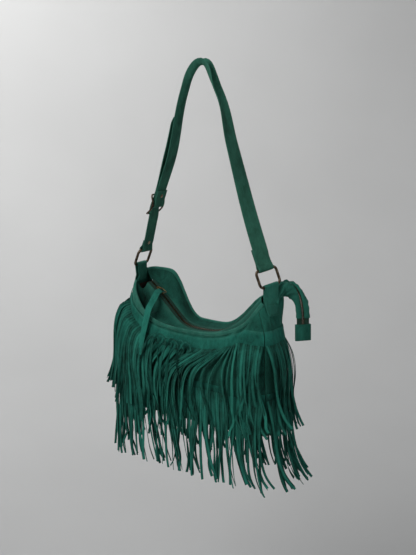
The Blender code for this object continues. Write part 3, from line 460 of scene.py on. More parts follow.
def sheet_mesh(name, outer, inner, paint, values=None):
    """Closed thin body between two grids of points; edge is 1 at its cut edges."""
    outer, inner = np.asarray(outer, float), np.asarray(inner, float)
    rows, columns = outer.shape[:2]
    size = rows * columns
    vertices = np.vstack([outer.reshape(-1, 3), inner.reshape(-1, 3)])
    ring = border(rows, columns)
    around = np.column_stack([ring, ring + size, np.roll(ring, -1) + size, np.roll(ring, -1)])
    faces = np.vstack([grid_quads(rows, columns, 0, True), grid_quads(rows, columns, size),
                       around[:, ::-1]])
    middle = outer[rows // 2, columns // 2] - inner[rows // 2, columns // 2]
    down = outer[rows // 2 + 1, columns // 2] - outer[rows // 2 - 1, columns // 2]
    right = (outer[rows // 2, min(columns // 2 + 1, columns - 1)]
             - outer[rows // 2, max(columns // 2 - 1, 0)])
    if np.dot(np.cross(right, down), middle) > 0:
        faces = faces[:, ::-1]
    edge = np.zeros((rows, columns))
    edge[0], edge[-1], edge[:, 0], edge[:, -1] = 1, 1, 1, 1
    r, c = np.mgrid[0:rows, 0:columns]
    facts = {"edge": np.r_[edge.ravel(), edge.ravel()],
             "inside": np.r_[np.zeros(size), np.ones(size)],
             "across": np.tile((c / (columns - 1)).ravel(), 2),
             "along": np.tile((r / (rows - 1)).ravel(), 2)}
    for key, data in (values or {}).items():
        facts[key] = np.tile(np.asarray(data).ravel(), 2)
    return shown(name, vertices, faces, paint, 55, facts)


def grid_normal(grid):
    down = np.gradient(grid, axis=0)
    right = np.gradient(grid, axis=1)
    return unit(np.cross(down, right))


def soft_sheet(name, middle, thickness, paint, values=None):
    """Sheet of one thickness about a grid, thinner at its cut edges."""
    middle = np.asarray(middle, float)
    half = np.full(middle.shape[:2], thickness / 2)
    for part in (half[0], half[-1], half[:, 0], half[:, -1]):
        part *= 0.62
    lift = grid_normal(middle) * half[..., None]
    return sheet_mesh(name, middle + lift, middle - lift, paint, values)


def tube_rings(path, side, width, height, sides, power=1.0, closed=False):
    """Rings of points round a path; power under 1 squares the section."""
    path = np.asarray(path, float)
    side = np.broadcast_to(np.asarray(side, float), path.shape)
    along = np.roll(path, -1, 0) - np.roll(path, 1, 0) if closed else np.gradient(path, axis=0)
    along = unit(along)
    wide = unit(side - along * (side * along).sum(-1, keepdims=True))
    tall = np.cross(along, wide)
    turns = np.arange(sides) * 2 * math.pi / sides
    c, s = np.cos(turns), np.sin(turns)
    c, s = np.sign(c) * np.abs(c) ** power, np.sign(s) * np.abs(s) ** power
    width, height = np.broadcast_to(width, len(path)), np.broadcast_to(height, len(path))
    return (path[:, None] + wide[:, None] * (width[:, None] / 2 * c)[..., None]
            + tall[:, None] * (height[:, None] / 2 * s)[..., None])


def tube_faces(count, sides, start=0, closed=False):
    faces = []
    for i in range(count if closed else count - 1):
        a, b = start + i * sides, start + ((i + 1) % count) * sides
        for k in range(sides):
            j = (k + 1) % sides
            faces.append((a + k, a + j, b + j, b + k))
    if not closed:
        faces.append(tuple(start + k for k in range(sides))[::-1])
        faces.append(tuple(start + (count - 1) * sides + k for k in range(sides)))
    return faces


def tube(name, path, side, width, height, paint, sides=16, power=1.0, closed=False, values=None):
    rings = tube_rings(path, side, width, height, sides, power, closed)
    faces = tube_faces(len(rings), sides, 0, closed)
    facts = {"along": np.repeat(np.linspace(0, 1, len(rings)), sides)}
    facts.update(values or {})
    return shown(name, rings.reshape(-1, 3), faces, paint, 45, facts)


def merged(name, parts, paint, angle=45.0):
    """One object from several (vertices, faces) parts."""
    vertices, faces, count = [], [], 0
    for points, quads in parts:
        points = np.asarray(points, float).reshape(-1, 3)
        vertices.append(points)
        faces += [tuple(i + count for i in f) for f in quads]
        count += len(points)
    return shown(name, np.vstack(vertices), faces, paint, angle)


def turned(profile, centre, axis, sides=20):
    """(vertices, faces) of a profile of (radius, height) turned round an axis."""
    axis = unit(axis)
    first = unit(np.cross(axis, (0.3, 0.9, 0.1)))
    second = np.cross(axis, first)
    vertices, rings = [], []
    for radius, height in profile:
        count = 1 if radius == 0 else sides
        rings.append(list(range(len(vertices), len(vertices) + count)))
        for k in range(count):
            t = 2 * math.pi * k / sides
            vertices.append(centre + axis * height
                            + radius * (first * math.cos(t) + second * math.sin(t)))
    faces = []
    for a, b in zip(rings, rings[1:]):
        for k in range(sides):
            corners = [a[k % len(a)], a[(k + 1) % len(a)], b[(k + 1) % len(b)], b[k % len(b)]]
            faces.append(tuple(dict.fromkeys(corners)))
    return np.array(vertices), faces


def stitch_parts(line, normal, pitch=0.0036, length=0.0025, size=0.0007, lift=0.0003):
    """Short threads along a line on a surface, as (vertices, faces) parts."""
    line, normal = np.asarray(line, float), np.asarray(normal, float)
    lengths = lengths_of(line)
    parts = []
    for middle in np.arange(pitch, lengths[-1] - pitch / 2, pitch):
        places = middle + np.array([-0.5, -0.3, 0.0, 0.3, 0.5]) * length
        path = read_at(places, lengths, line)
        up = unit(read_at([middle], lengths, normal)[0])
        path = path + up * (lift * np.array([-1.2, 0.3, 0.9, 0.3, -1.2]))[:, None]
        rings = tube_rings(path, up, size * np.array([0.6, 1, 1.1, 1, 0.6]), size, 6)
        parts.append((rings, tube_faces(5, 6)))
    return parts


# Axes of the fittings, as in the solids
class Frame:
    """Local axes at a ring or buckle: wide across the strap, up along it, out of its face."""

    def __init__(self, centre, up, wide):
        self.centre = np.asarray(centre, float)
        self.up = unit(up)
        self.wide = unit(np.asarray(wide, float) - self.up * np.dot(wide, self.up))
        self.out = np.cross(self.wide, self.up)

    def at(self, up=0.0, out=0.0, wide=0.0):
        return self.centre + self.up * up + self.out * out + self.wide * wide


def ring_frame(side):
    sign = -1 if side == "left" else 1
    turn = TAB_TURN if side == "right" else 0.0
    low_bar = (sign * (TAB_X + 0.001), 0, -HANG_DROP + 0.0155 - sign * RING_HANG)
    up = (-sign * math.sin(RING_LEAN), 0, math.cos(RING_LEAN))
    return Frame(low_bar, up, (sign * math.sin(turn), sign * math.cos(turn), 0))


def rounded_loop(half_wide, low, high, corner, turns=9):
    """Closed outline of a rectangle with round corners, as (wide, up) places."""
    places = []
    corners = [(half_wide - corner, high - corner, 0), (-half_wide + corner, high - corner, 90),
               (-half_wide + corner, low + corner, 180), (half_wide - corner, low + corner, 270)]
    for wide, up, start in corners:
        for angle in np.radians(np.linspace(start, start + 90, turns)):
            places.append((wide + corner * math.cos(angle), up + corner * math.sin(angle)))
    return places


def loop_route(axes, bar, thickness, fold, lead=LOOP_LEAD, sign=1, turns=10):
    """Middle of a layer that comes down outside a bar and folds back up inside."""
    around = bar / 2 + thickness / 2 + LAYER_GAP
    close = thickness / 2 + LAYER_GAP / 2

    def reach(up):
        return close + (around - close) * (1 - smooth(0.15 * lead, 0.6 * lead, up))

    ups = [share * lead for share in LOOP_SHARES]
    outside = [axes.at(up, sign * reach(up)) for up in ups]
    bend = [axes.at(-around * math.sin(angle), sign * around * math.cos(angle))
            for angle in np.linspace(0, math.pi, turns + 1)]
    inside = [axes.at(up, -sign * reach(up)) for up in ups[::-1] + [fold]]
    return outside + bend + inside


def buckle_axes():
    leg = np.array([(x, 0, z) for x, z in LEFT_LEG])
    top_bar = ring_frame("left").at(RING_BARS)
    share = (BUCKLE_FROM_HOOK + leg[-1][2]) / (leg[-1][2] - top_bar[2])
    centre = leg[-1] + (top_bar - leg[-1]) * share - np.array([0.0012, 0, 0])
    centre[2] = -BUCKLE_FROM_HOOK
    return Frame(centre, leg[-1] - top_bar, (0, -1, 0))


def leg_points(points):
    return [np.array([x, 0.0, z]) for x, z in points]


def even_widths(route, start, end):
    along = unit(np.gradient(np.asarray(route), axis=0))
    share = smooth(0, 1, np.linspace(0, 1, len(along)))[:, None]
    wide = np.asarray(start) * (1 - share) + np.asarray(end) * share
    return unit(wide - along * (wide * along).sum(-1, keepdims=True))


def zip_line():
    (x0, z0), (x1, z1) = ZIP_STRAIGHT
    straight = [np.array([x0 + (x1 - x0) * t, 0, z0 + (z1 - z0) * t]) for t in np.linspace(0, 1, 4)]
    left = through([ZIP_LEFT_END, straight[0]], 0.02)[:-1]
    rest = through([straight[-1]] + [np.array(p) for p in ZIP_ROUTE], 0.019)[1:]
    points = np.array(list(left) + straight + list(rest))
    points[:, 2] -= BAG_TILT * points[:, 0]
    return points


def zip_widths(line):
    """Direction across the zip; its tail turns to face the front as it hangs."""
    high, low = TAIL_TURN_HEIGHTS
    reach = TAB_X + TAIL_TURN_REACH
    turns = TAIL_TURN * smooth(TAB_X, reach, line[:, 0]) * smooth(-high, -low, -line[:, 2])
    return np.stack([np.sin(turns), np.cos(turns), 0 * turns], -1)


def fine_zip(step=0.002):
    """The zip's middle line without corners, close enough for teeth."""
    return resampled(relaxed(resampled(zip_line(), 0.004), 3), step)


def slider_axes():
    (x0, z0), (x1, z1) = ZIP_STRAIGHT
    start = np.array([x0, 0, z0 - BAG_TILT * x0])
    end = np.array([x1, 0, z1 - BAG_TILT * x1])
    up = unit(end - start)
    return Frame(start + up * 0.004, up, (0, 1, 0))


def zip_face(axes):
    return 1 if axes.out[2] > 0 else -1


def puller_axes():
    slider = slider_axes()
    face = zip_face(slider)
    outer = TEETH_THICKNESS / 2 + SLIDER_CLEARANCE + SLIDER_PLATE
    hinge = slider.at(SLIDER_LENGTH / 2, face * (outer + PULLER_WIRE / 2 + 0.0005))
    lift = math.radians(12)
    return Frame(hinge, slider.up * math.cos(lift) + slider.out * face * math.sin(lift), (0, 1, 0))


# Materials
class Nodes:
    """Adds and links nodes in one tree with few words."""

    def __init__(self, tree):
        self.tree = tree

    def link(self, value, socket):
        self.tree.links.new(value, socket)

    def feed(self, socket, value):
        """Links a socket's value, or sets a plain one."""
        if isinstance(value, bpy.types.NodeSocket):
            self.link(value, socket)
        else:
            socket.default_value = value

    def add(self, kind, values=None, **settings):
        made = self.tree.nodes.new(kind)
        for key, value in settings.items():
            setattr(made, key, value)
        for key, value in (values or {}).items():
            self.feed(made.inputs[key], value)
        return made

    def math(self, step, a, b=None):
        values = {0: a} if b is None else {0: a, 1: b}
        return self.add("ShaderNodeMath", values, operation=step).outputs[0]

    def noise(self, place, scale, detail=3.0, rough=0.55, distortion=0.0):
        return self.add("ShaderNodeTexNoise", {"Vector": place, "Scale": scale, "Detail": detail,
                                               "Roughness": rough,
                                               "Distortion": distortion}).outputs["Fac"]

    def mix(self, share, a, b, blend="MIX"):
        made = self.add("ShaderNodeMix", data_type="RGBA", blend_type=blend)
        for socket, value in zip((made.inputs[0], made.inputs[6], made.inputs[7]), (share, a, b)):
            self.feed(socket, value)
        return made.outputs[2]

    def ramp(self, value, low, high, out_low=0.0, out_high=1.0):
        return self.add("ShaderNodeMapRange", {"Value": value, "From Min": low, "From Max": high,
                                               "To Min": out_low, "To Max": out_high}).outputs[0]

    def fact(self, name):
        return self.add("ShaderNodeAttribute", attribute_name=name).outputs["Fac"]


OUTPUT_KINDS = {"Colour": "NodeSocketColor", "Roughness": "NodeSocketFloat",
                "Normal": "NodeSocketVector"}


def new_group(name, inputs, outputs=tuple(OUTPUT_KINDS)):
    """An empty shader node group with the named sockets."""
    group = bpy.data.node_groups.new(name, "ShaderNodeTree")
    for label, value in inputs.items():
        kind = "NodeSocketColor" if isinstance(value, tuple) else "NodeSocketFloat"
        socket = group.interface.new_socket(name=label, in_out="INPUT", socket_type=kind)
        socket.default_value = value
    for label in outputs:
        group.interface.new_socket(name=label, in_out="OUTPUT", socket_type=OUTPUT_KINDS[label])
    n = Nodes(group)
    return group, n, n.add("NodeGroupInput").outputs, n.add("NodeGroupOutput").inputs


def suede_group():
    """Nap of suede: brushed patches, fine fibres, paler rubbed places and edges (the rubbed colour
    also paints highlights), and painted shade from the tone.
    """
    found = bpy.data.node_groups.get("suede_nap")
    if found:
        return found
    group, n, given, result = new_group(
        "suede_nap",
        {"Colour": (0.03, 0.14, 0.1, 1), "Rubbed": (0.07, 0.2, 0.15, 1), "Rub": 0.0, "Tone": 0.5,
         "Brush": 1.0})
    place = n.add("ShaderNodeTexCoord").outputs["Object"]
    warp = n.add("ShaderNodeMapping", {"Vector": place, "Scale": (1.0, 1.0, 0.45)}).outputs[0]
    patches = n.noise(warp, 26.0, 4.0, 0.55, 0.6)
    brushed = n.noise(warp, 120.0, 3.0, 0.6, 0.8)
    nap = n.noise(place, 1500.0, 2.0, 0.6)
    fibre = n.noise(n.add("ShaderNodeMapping",
                          {"Vector": place, "Scale": (1.0, 1.0, 0.3)}).outputs[0],
                    700.0, 3.0, 0.65)
    tone = n.math("ADD", n.ramp(patches, 0.3, 0.7, -0.26, 0.26),
                  n.ramp(brushed, 0.3, 0.7, -0.20, 0.20))
    tone = n.math("MULTIPLY", tone, given["Brush"])
    tone = n.math("ADD", tone, n.ramp(nap, 0.3, 0.7, -0.16, 0.16))
    # The tone input darkens or lightens the colour: random tone of each piece plus painted shade
    # from the meshes
    tone = n.math("ADD", tone, n.ramp(given["Tone"], 0.0, 1.0, -0.62, 0.34))
    level = n.math("ADD", tone, 1.0)
    shade = n.add("ShaderNodeVectorMath", {0: given["Colour"]}, operation="SCALE")
    n.link(level, shade.inputs["Scale"])
    rub = n.math("MULTIPLY", given["Rub"], n.ramp(n.noise(place, 60.0, 3.0), 0.35, 0.6, 0.35, 1.0))
    colour = n.mix(rub, shade.outputs[0], given["Rubbed"])
    n.link(colour, result["Colour"])
    n.link(n.ramp(brushed, 0.3, 0.7, 0.84, 0.96), result["Roughness"])
    height = n.math("ADD", n.math("MULTIPLY", nap, 0.5),
                    n.math("ADD", fibre, n.math("MULTIPLY", patches, 1.2)))
    bump = n.add("ShaderNodeBump", {"Height": height, "Strength": 0.55, "Distance": 0.0006})
    n.link(bump.outputs[0], result["Normal"])
    return group


def metal_group():
    """Antique plating: dark hollows, warm rubbed spots and fine scratches."""
    found = bpy.data.node_groups.get("antique_plating")
    if found:
        return found
    group, n, given, result = new_group(
        "antique_plating",
        {"Dark": (0.05, 0.035, 0.03, 1), "Rubbed": (0.4, 0.28, 0.2, 1), "Wear": 0.5})
    place = n.add("ShaderNodeTexCoord").outputs["Object"]
    broad = n.noise(place, 190.0, 4.0, 0.6, 0.4)
    fine = n.noise(place, 1300.0, 3.0, 0.6)
    share = n.math("MULTIPLY",
                   n.ramp(n.math("ADD", n.math("MULTIPLY", broad, 0.7),
                                 n.math("MULTIPLY", fine, 0.3)),
                                      0.38, 0.62), given["Wear"])
    n.link(n.mix(share, given["Dark"], given["Rubbed"]), result["Colour"])
    n.link(n.ramp(fine, 0.3, 0.7, 0.24, 0.42), result["Roughness"])
    bump = n.add("ShaderNodeBump",
                 {"Height": n.math("ADD", broad, fine), "Strength": 0.25, "Distance": 0.0004})
    n.link(bump.outputs[0], result["Normal"])
    return group


def weave_group():
    """Plain weave of a tape or lining, on the object's own lengths."""
    found = bpy.data.node_groups.get("plain_weave")
    if found:
        return found
    group, n, given, result = new_group(
        "plain_weave",
        {"Colour": (0.1, 0.07, 0.05, 1), "Threads": 900.0}, ("Colour", "Normal"))
    place = n.add("ShaderNodeTexCoord").outputs["Object"]
    scaled = n.add("ShaderNodeVectorMath", {0: place}, operation="SCALE")
    n.link(given["Threads"], scaled.inputs["Scale"])
    parts = n.add("ShaderNodeSeparateXYZ", {0: scaled.outputs[0]}).outputs
    warp = n.math("SINE", n.math("ADD", parts[0], n.math("MULTIPLY", parts[1], 0.5)))
    weft = n.math("SINE", n.math("ADD", parts[2], n.math("MULTIPLY", parts[1], 0.5)))
    height = n.math("MULTIPLY", warp, weft)
    level = n.math("ADD", n.ramp(height, -1.0, 1.0, 0.7, 1.15),
                   n.ramp(n.noise(place, 90.0), 0.3, 0.7, -0.12, 0.12))
    shade = n.add("ShaderNodeVectorMath", {0: given["Colour"]}, operation="SCALE")
    n.link(level, shade.inputs["Scale"])
    n.link(shade.outputs[0], result["Colour"])
    bump = n.add("ShaderNodeBump", {"Height": height, "Strength": 0.4, "Distance": 0.0003})
    n.link(bump.outputs[0], result["Normal"])
    return group


def paint_with(name, group, values, roughness=None, metallic=0.0, sheen=0.0, links=None):
    """A Principled material fed by a node group."""
    found = bpy.data.materials.get(name)
    if found:
        return found
    made = bpy.data.materials.new(name)
    made.use_nodes = True
    shader = made.node_tree.nodes["Principled BSDF"]
    n = Nodes(made.node_tree)
    used = n.add("ShaderNodeGroup", node_tree=group)
    for key, value in values.items():
        used.inputs[key].default_value = value
    for key, fact in (links or {}).items():
        n.link(n.fact(fact), used.inputs[key])
    n.link(used.outputs["Colour"], shader.inputs["Base Color"])
    n.link(used.outputs["Normal"], shader.inputs["Normal"])
    if roughness is None:
        n.link(used.outputs["Roughness"], shader.inputs["Roughness"])
    else:
        shader.inputs["Roughness"].default_value = roughness
    shader.inputs["Metallic"].default_value = metallic
    shader.inputs["Specular IOR Level"].default_value = 0.5 if metallic else 0.10
    shader.inputs["Sheen Weight"].default_value = sheen
    shader.inputs["Sheen Roughness"].default_value = 0.5
    shader.inputs["Sheen Tint"].default_value = (0.55, 0.95, 0.8, 1)
    return made


def rgba(colour, level=1.0):
    return (colour[0] * level, colour[1] * level, colour[2] * level, 1.0)


# Suedes: colour, its level, level of the rubbed colour (which also paints highlights), tone with its
# painted shade (None: from the mesh), sheen
SUEDES = {
    "suede_wall": ("body", 1.0, 1.0, None, 0.06),
    "suede_body": ("body", 1.0, 1.0, 0.62, 0.06),
    # The inside suede is the body suede made darker: painted shade inside the mouth
    "suede_inside": ("body", 0.80, 0.7, None, 0.05),
    "suede_fringe": ("fringe", 1.0, 1.0, None, 0.06),
    "suede_strap": ("strap", 1.0, 1.0, 0.62, 0.10),
    "suede_pull": ("fringe", 1.0, 1.0, 0.72, 0.06),
}

# Metals: colour, its level in the hollows, its level where rubbed, wear
METALS = {
    "antique_bronze_plate": ("bronze", 0.20, 2.4, 0.65),
    "worn_bronze_rivet": ("bronze", 0.9, 4.8, 0.9),
    "slider_brass_plate": ("brass", 0.7, 2.0, 0.85),
    "zip_brass_plate": ("brass", 0.28, 0.95, 0.45),
}

# Woven cloths and thread: colour, threads, roughness, sheen
WEAVES = {
    "zip_tape_weave": ("tape", 5200.0, 0.9, 0.05),
    "lining_weave": ("lining", 3600.0, 0.85, 0.05),
    "thread_twist": ("thread", 9000.0, 0.8, 0.0),
}


def suede(name, colours):
    key, level, rubbed, tone, sheen = SUEDES[name]
    values = {"Colour": rgba(getattr(colours, key), level), "Rubbed": rgba(colours.rubbed, rubbed)}
    links = {"Rub": "rub"}
    if tone is None:
        links["Tone"] = "tone"
    else:
        values["Tone"] = tone
    return paint_with(name, suede_group(), values, sheen=sheen, links=links)


def metal(name, colours):
    key, dark, rubbed, wear = METALS[name]
    colour = getattr(colours, key)
    values = {"Dark": rgba(colour, dark), "Rubbed": rgba(colour, rubbed), "Wear": wear}
    return paint_with(name, metal_group(), values, metallic=1.0)


def weave(name, colours):
    key, threads, roughness, sheen = WEAVES[name]
    values = {"Colour": rgba(getattr(colours, key)), "Threads": threads}
    return paint_with(name, weave_group(), values, roughness, sheen=sheen)


# Pieces
def placed(made, body, slot, *nodes):
    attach(made, body)
    if nodes:
        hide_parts(*nodes)
    return made


def cloth(piece, held, *rests_on, with_pieces=()):
    """Hands back the sheet of suede or fabric unchanged."""
    return piece


def wall_panel(side, paint, columns, rows):
    """A wall of slouched suede with its drag folds and turned-in seams, darkened under the fringe as
    painted shade.
    """
    across = np.sin(np.linspace(-1, 1, columns) * math.pi / 2 * 0.86) / math.sin(math.pi / 2 * 0.86)
    share = np.linspace(0, 1, rows)[:, None]
    top = under_rim(side, across, ROLLED_EDGE * 0.8)[None]
    height = BASE_HEIGHT + (top - BASE_HEIGHT) * share
    trim = 1 - 0.0004 / (BACK_DEPTH if side in ("left", "right") else TAB_X)
    place = np.broadcast_to(across[None] * trim, height.shape)
    tuck = 0.0011 * smooth(0.965, 1.0, np.abs(place))
    outer = on_wall(side, place, height, -tuck, folds=1.0)
    inner = on_wall(side, place, height, -SUEDE - 0.2 * tuck, folds=1.0)
    rub = 0.25 * smooth(0.0012, 0.0030, relief(side, place, height))
    # Painted shade on the wall under the fringe, deeper on the front and back than on the gussets
    painted_shade_under_fringe = smooth(0.004, -0.010, height - cut_height(side, across)[None])
    tone = 0.62 - (0.42 if side in ("front", "back") else 0.16) * painted_shade_under_fringe
    return sheet_mesh("wall_" + side, outer, inner, paint, {"rub": rub, "tone": tone})


def lining_sheet(paint):
    """The lining's walls, hung from the rim with soft creases, and its floor."""
    places = ([("front", p) for p in np.linspace(-1, 1, 41)]
              + [("right", p) for p in np.linspace(-1, 1, 15)[1:]])
    places += ([("back", p) for p in np.linspace(1, -1, 41)[1:]]
               + [("left", p) for p in np.linspace(1, -1, 15)[1:]])
    low = BASE_HEIGHT + LINING_FLOOR
    crease = waves(91, 6, 12, 50)(np.linspace(0, 1, len(places))) * 0.0006
    rows = []
    for share in np.linspace(1, 0, 22):
        inset = LINING_SEAT + (LINING_INSET - LINING_SEAT) * smooth(1.0, 0.93, share)
        rows.append([on_wall(side, place,
                             low + (rim_height(side, place) - LINING_DROP - low) * share,
                             -SUEDE - inset + fold * math.sin(math.pi * share))
                     for (side, place), fold in zip(places, crease)])
    rows = np.array(rows)
    last = rows[-1]
    floor = [last * [1 - 0.06 * t, 1 - t, 1] + [0, t * last[:, 1].mean(), 0]
             for t in np.linspace(0.2, 0.97, 6)]
    rows = np.concatenate([rows, np.array(floor)])
    return soft_sheet("lining_cloth", rows, LINING_THICKNESS, paint)


def base_sheet(paint):
    grid = []
    for across in np.linspace(-1, 1, 15):
        x_share = np.linspace(-1, 1, 41)
        front = wall_point("front", x_share, BASE_HEIGHT)
        back = wall_point("back", x_share, BASE_HEIGHT)
        x = front[:, 0] * (1 - 0.0024 / TAB_X)
        y = front[:, 1] + 0.0024 + (back[:, 1] - front[:, 1] - 0.0048) * (across + 1) / 2
        z = BASE_HEIGHT + 0.0010 + 0.0006 * np.sin(9 * x_share + 4 * across)
        grid.append(hung(np.stack([x, y, z + 0 * x], -1)))
    grid = np.array(grid)
    return soft_sheet("base_suede", grid, 0.0015, paint, {"rub": np.full(grid.shape[:2], 0.15)})


def rim_places(side, count=60):
    """(side, across) pairs along one rim, from the left tab to the right one."""
    sign = -1 if side == "front" else 1

    def tab_edge(gusset):
        for far in np.linspace(0.2, 0.95, 76):
            if abs(wall_point(gusset, sign * far,
                              rim_height(gusset, sign * far))[1]) > TAB_WIDTH / 2 + 0.002:
                return far
        return 0.95

    left = [("left", sign * far) for far in np.linspace(tab_edge("left"), 1, 7, endpoint=False)]
    right = [("right", sign * far) for far in np.linspace(1, tab_edge("right"), 8)[1:]]
    middle = np.sin(np.linspace(-1, 1, count) * math.pi / 2 * 0.8) / math.sin(math.pi / 2 * 0.8)
    return left + [(side, a) for a in middle] + right


def rim_line(side, drop, offset, count=60):
    return np.array([on_wall(s, p, under_rim(s, p, drop), offset)
                     for s, p in rim_places(side, count)])


def rolled_rim(side, paint):
    """Rolled edge: a soft tube, a little uneven, thicker at the front's left; paler round its top
    and underside, rubbed suede with a painted highlight on top.
    """
    line = resampled(relaxed(rim_line(side, ROLLED_EDGE / 2, -SUEDE / 2), 3), 0.003)
    off = resampled(relaxed(rim_line(side, ROLLED_EDGE / 2, 0.01), 3), 0.003)
    places = np.linspace(0, 1, len(line))
    off = read_at(places, np.linspace(0, 1, len(off)), off)
    uneven = waves(7 if side == "front" else 8, 6, 40, 160)(places)
    width = ROLLED_WIDTH * (1.08 + 0.10 * uneven)
    height = ROLLED_EDGE * (0.99 + 0.05 * waves(9, 6, 50, 130)(places))
    if side == "front":
        lip = np.exp(-((places - LIP_AT) / LIP_REACH) ** 2)
        width = width * (1 + 0.75 * lip)
        height = height * (1 + 0.65 * lip)
    sides = 18
    # Paler round the top and underside of the tube: rubbed suede, plus a painted highlight on the
    # top
    rub = np.tile(0.42 + 0.50 * np.abs(np.sin(np.arange(sides) * 2 * math.pi / sides)) ** 2,
                  len(line))
    return tube("rolled_rim_" + side, line, off - line, width, height, paint, sides, 0.85, False,
                {"rub": rub})


def facing(side, paint):
    """Suede facing inside the rim, down to the zip's tape, with soft folds, painted shade and a
    painted highlight.
    """
    sign = -1 if side == "front" else 1
    count = 90
    base = [("left", sign * 0.72), ("left", sign * 0.95)]
    if side == "back":
        base = [("left", 0.50)] + base
    base += [(side, p) for p in np.linspace(-0.93, 0.93, 16)]
    base += [("right", sign * 0.95), ("right", sign * 0.72)]
    seat = -SUEDE - FACING_THICKNESS / 2 - FACING_SEAT
    rim = np.array([on_wall(s, p, under_rim(s, p, ROLLED_EDGE * 0.55), seat - 0.0004)
                    for s, p in base])
    line = zip_line()
    inside = resampled(line[line[:, 0] < TAB_X - 0.022], 0.001)
    shares = np.linspace(0, 1, len(base))
    picks = np.array([inside[int(round(s * (len(inside) - 1)))] for s in shares])
    reach = ZIP_SLOT / 2 + TEETH_WIDTH + SEAM_GAP + TAPE_WIDTH + FACING_GAP
    edge = picks + np.array([0, sign * reach, 0])
    fine = np.linspace(0, 1, count)
    rim, edge = [relaxed(read_at(fine, shares, grid), 6) for grid in (rim, edge)]
    rows, painted_shade_rows, rub_and_highlight_rows = [], [], []
    ripple = waves(21 if side == "front" else 22, 6, 9, 34)(fine)
    hollow = np.exp(-((fine - HOLLOW_AT) / HOLLOW_REACH) ** 2)
    for t in np.linspace(0, 1, 15):
        middle = rim * (1 - t) + edge * t
        sag = 0.0046 + MOUTH_HOLLOW[side] * hollow + 0.0022 * ripple
        middle[:, 2] -= sag * math.sin(math.pi * t)
        rows.append(middle)
        # Painted shade: dark under the rim, lighter towards the zip and with the ripples; the front
        # also darkens in the hollow at its left end
        shade = 0.30 + 0.42 * smooth(0.35, 0.95, t) + 0.10 * ripple
        if side == "front":
            shade = shade - 0.75 * hollow * (1 - smooth(0.55, 1.0, t))
        painted_shade_rows.append(np.clip(shade, 0, 1))
        # Rubbed paler along the zip's edge, partly a painted highlight on the fold there
        rub_and_highlight_rows.append(0.08 + 0.45 * smooth(0.80, 0.95, t) + 0 * fine)
    return soft_sheet("zip_facing_" + side, np.array(rows), FACING_THICKNESS * 1.1, paint,
                      {"rub": np.array(rub_and_highlight_rows), "tone": np.array(painted_shade_rows)})


def band_sheet(row, side, paint):
    """The uncut top of a fringe, sewn to the wall along its upper edge, with painted shade towards
    the cut.
    """
    columns = 90 if side in ("front", "back") else 36
    across = np.linspace(-1, 1, columns) * (1 - 0.0012 / (BODY_LENGTH / 2))
    if row == "upper":
        cut = cut_height(side, across)
        top = np.minimum(cut + UPPER_BAND, under_rim(side, across, ROLLED_EDGE + 0.0030))
    else:
        cut = np.full(columns, -HANG_DROP - LOWER_CUT_DROP)
        top = cut + LOWER_BAND
    share = np.linspace(0, 1, 9)[:, None]
    height = top[None] + (cut[None] - top[None]) * share
    lift = 0.0016 + 0.0005 * share
    middle = on_wall(side, np.broadcast_to(across[None], height.shape), height, lift, folds=1.0)
    rub = 0.35 * smooth(0.25, 0.0, share) + np.zeros(height.shape)
    # Painted shade: the lower band darker under the upper fringe, both bands darker towards the cut
    return soft_sheet("fringe_band_%s_%s" % (row, side), middle, 0.0012, paint,
                      {"rub": rub * (row == "upper"),
                       "tone": rub * 0 + (0.62 if row == "upper" else 0.22) - 0.22 * share})


# Fringe
def strip_roots(side, row, pitch):
    """Root, first direction and width direction of each strip of a row."""
    fine = np.linspace(-1, 1, 801) * (1 - 0.003 / (BODY_LENGTH / 2))
    upper = row == "upper"
    cut = cut_height(side, fine) if upper else np.full(fine.shape, -HANG_DROP - LOWER_CUT_DROP)
    plumb = BASE_HEIGHT + BODY_HEIGHT * 0.22
    line = on_wall(side, fine, cut + 0.0012, 0.0024, plumb, folds=1.0)
    lengths = lengths_of(line)
    count = int(lengths[-1] / pitch)
    places = (np.arange(count) + 0.5) * lengths[-1] / count
    across = np.interp(places, lengths, fine)
    here = read_at(places, lengths, line)
    ahead = read_at(places + 0.002, lengths, line)
    along = unit(ahead - here)
    cut = np.interp(across, fine, cut)
    below = on_wall(side, across, cut - 0.010, 0.0024, plumb, folds=1.0)
    down = unit(below - here)
    normal = unit(np.cross(along, down))
    out = unit(here * [1, 1, 0])
    normal = np.where((normal * out).sum(-1, keepdims=True) < 0, -normal, normal)
    square = unit(np.cross(normal, along))
    square = np.where(square[:, 2:] > 0, -square, square)
    return across, here, along, down, normal, square


LEADS = 13
STRIP_POINTS = 27
LOOPED = (-0.47, 0.10)
LOOP_EVERY = 3
LOOP_HELD = 11
SWEPT_END = 0.68
PART_DISTANCE = 0.0038
COVER_REACH = 0.011
SIDE_REACH = 0.19

# How the strips of a row scatter and hang, and the painted shade on them; pairs are (middle, spread)
# of a random draw
LENGTH_WAVE, LENGTH_SCATTER = 0.05, 0.035
SWAY, SWAY_SCATTER, BEND_SCATTER = 0.13, 0.05, 0.10
PROUD = (0.02, 0.05)
RIGHT_PUSH = {"upper": 0.35, "lower": 0.75}
LEFT_FLARE = {"upper": 1.9, "lower": 0.5}
DRIFT = {"upper": 0.1, "lower": 1.0}
CLEARANCE = {"upper": 0.0040, "lower": 0.0026}
SWEPT_CLEARANCE = 0.0085
CURL_SCATTER = 0.030
TIP_CURL = (0.05, 0.09)
FLIP_SHARE, FLIP_TURN = 0.13, 1.9
STRIP_TONE = (0.62, 0.22)
# Painted shade on the strips: near the cut, where they hang in behind their roots, where other
# strips lie over them, and along their edges
CUT_PAINTED_SHADE, DEEP_PAINTED_SHADE, BURIED_PAINTED_SHADE, EDGE_PAINTED_SHADE = 0.20, 0.15, 0.55, 0.30


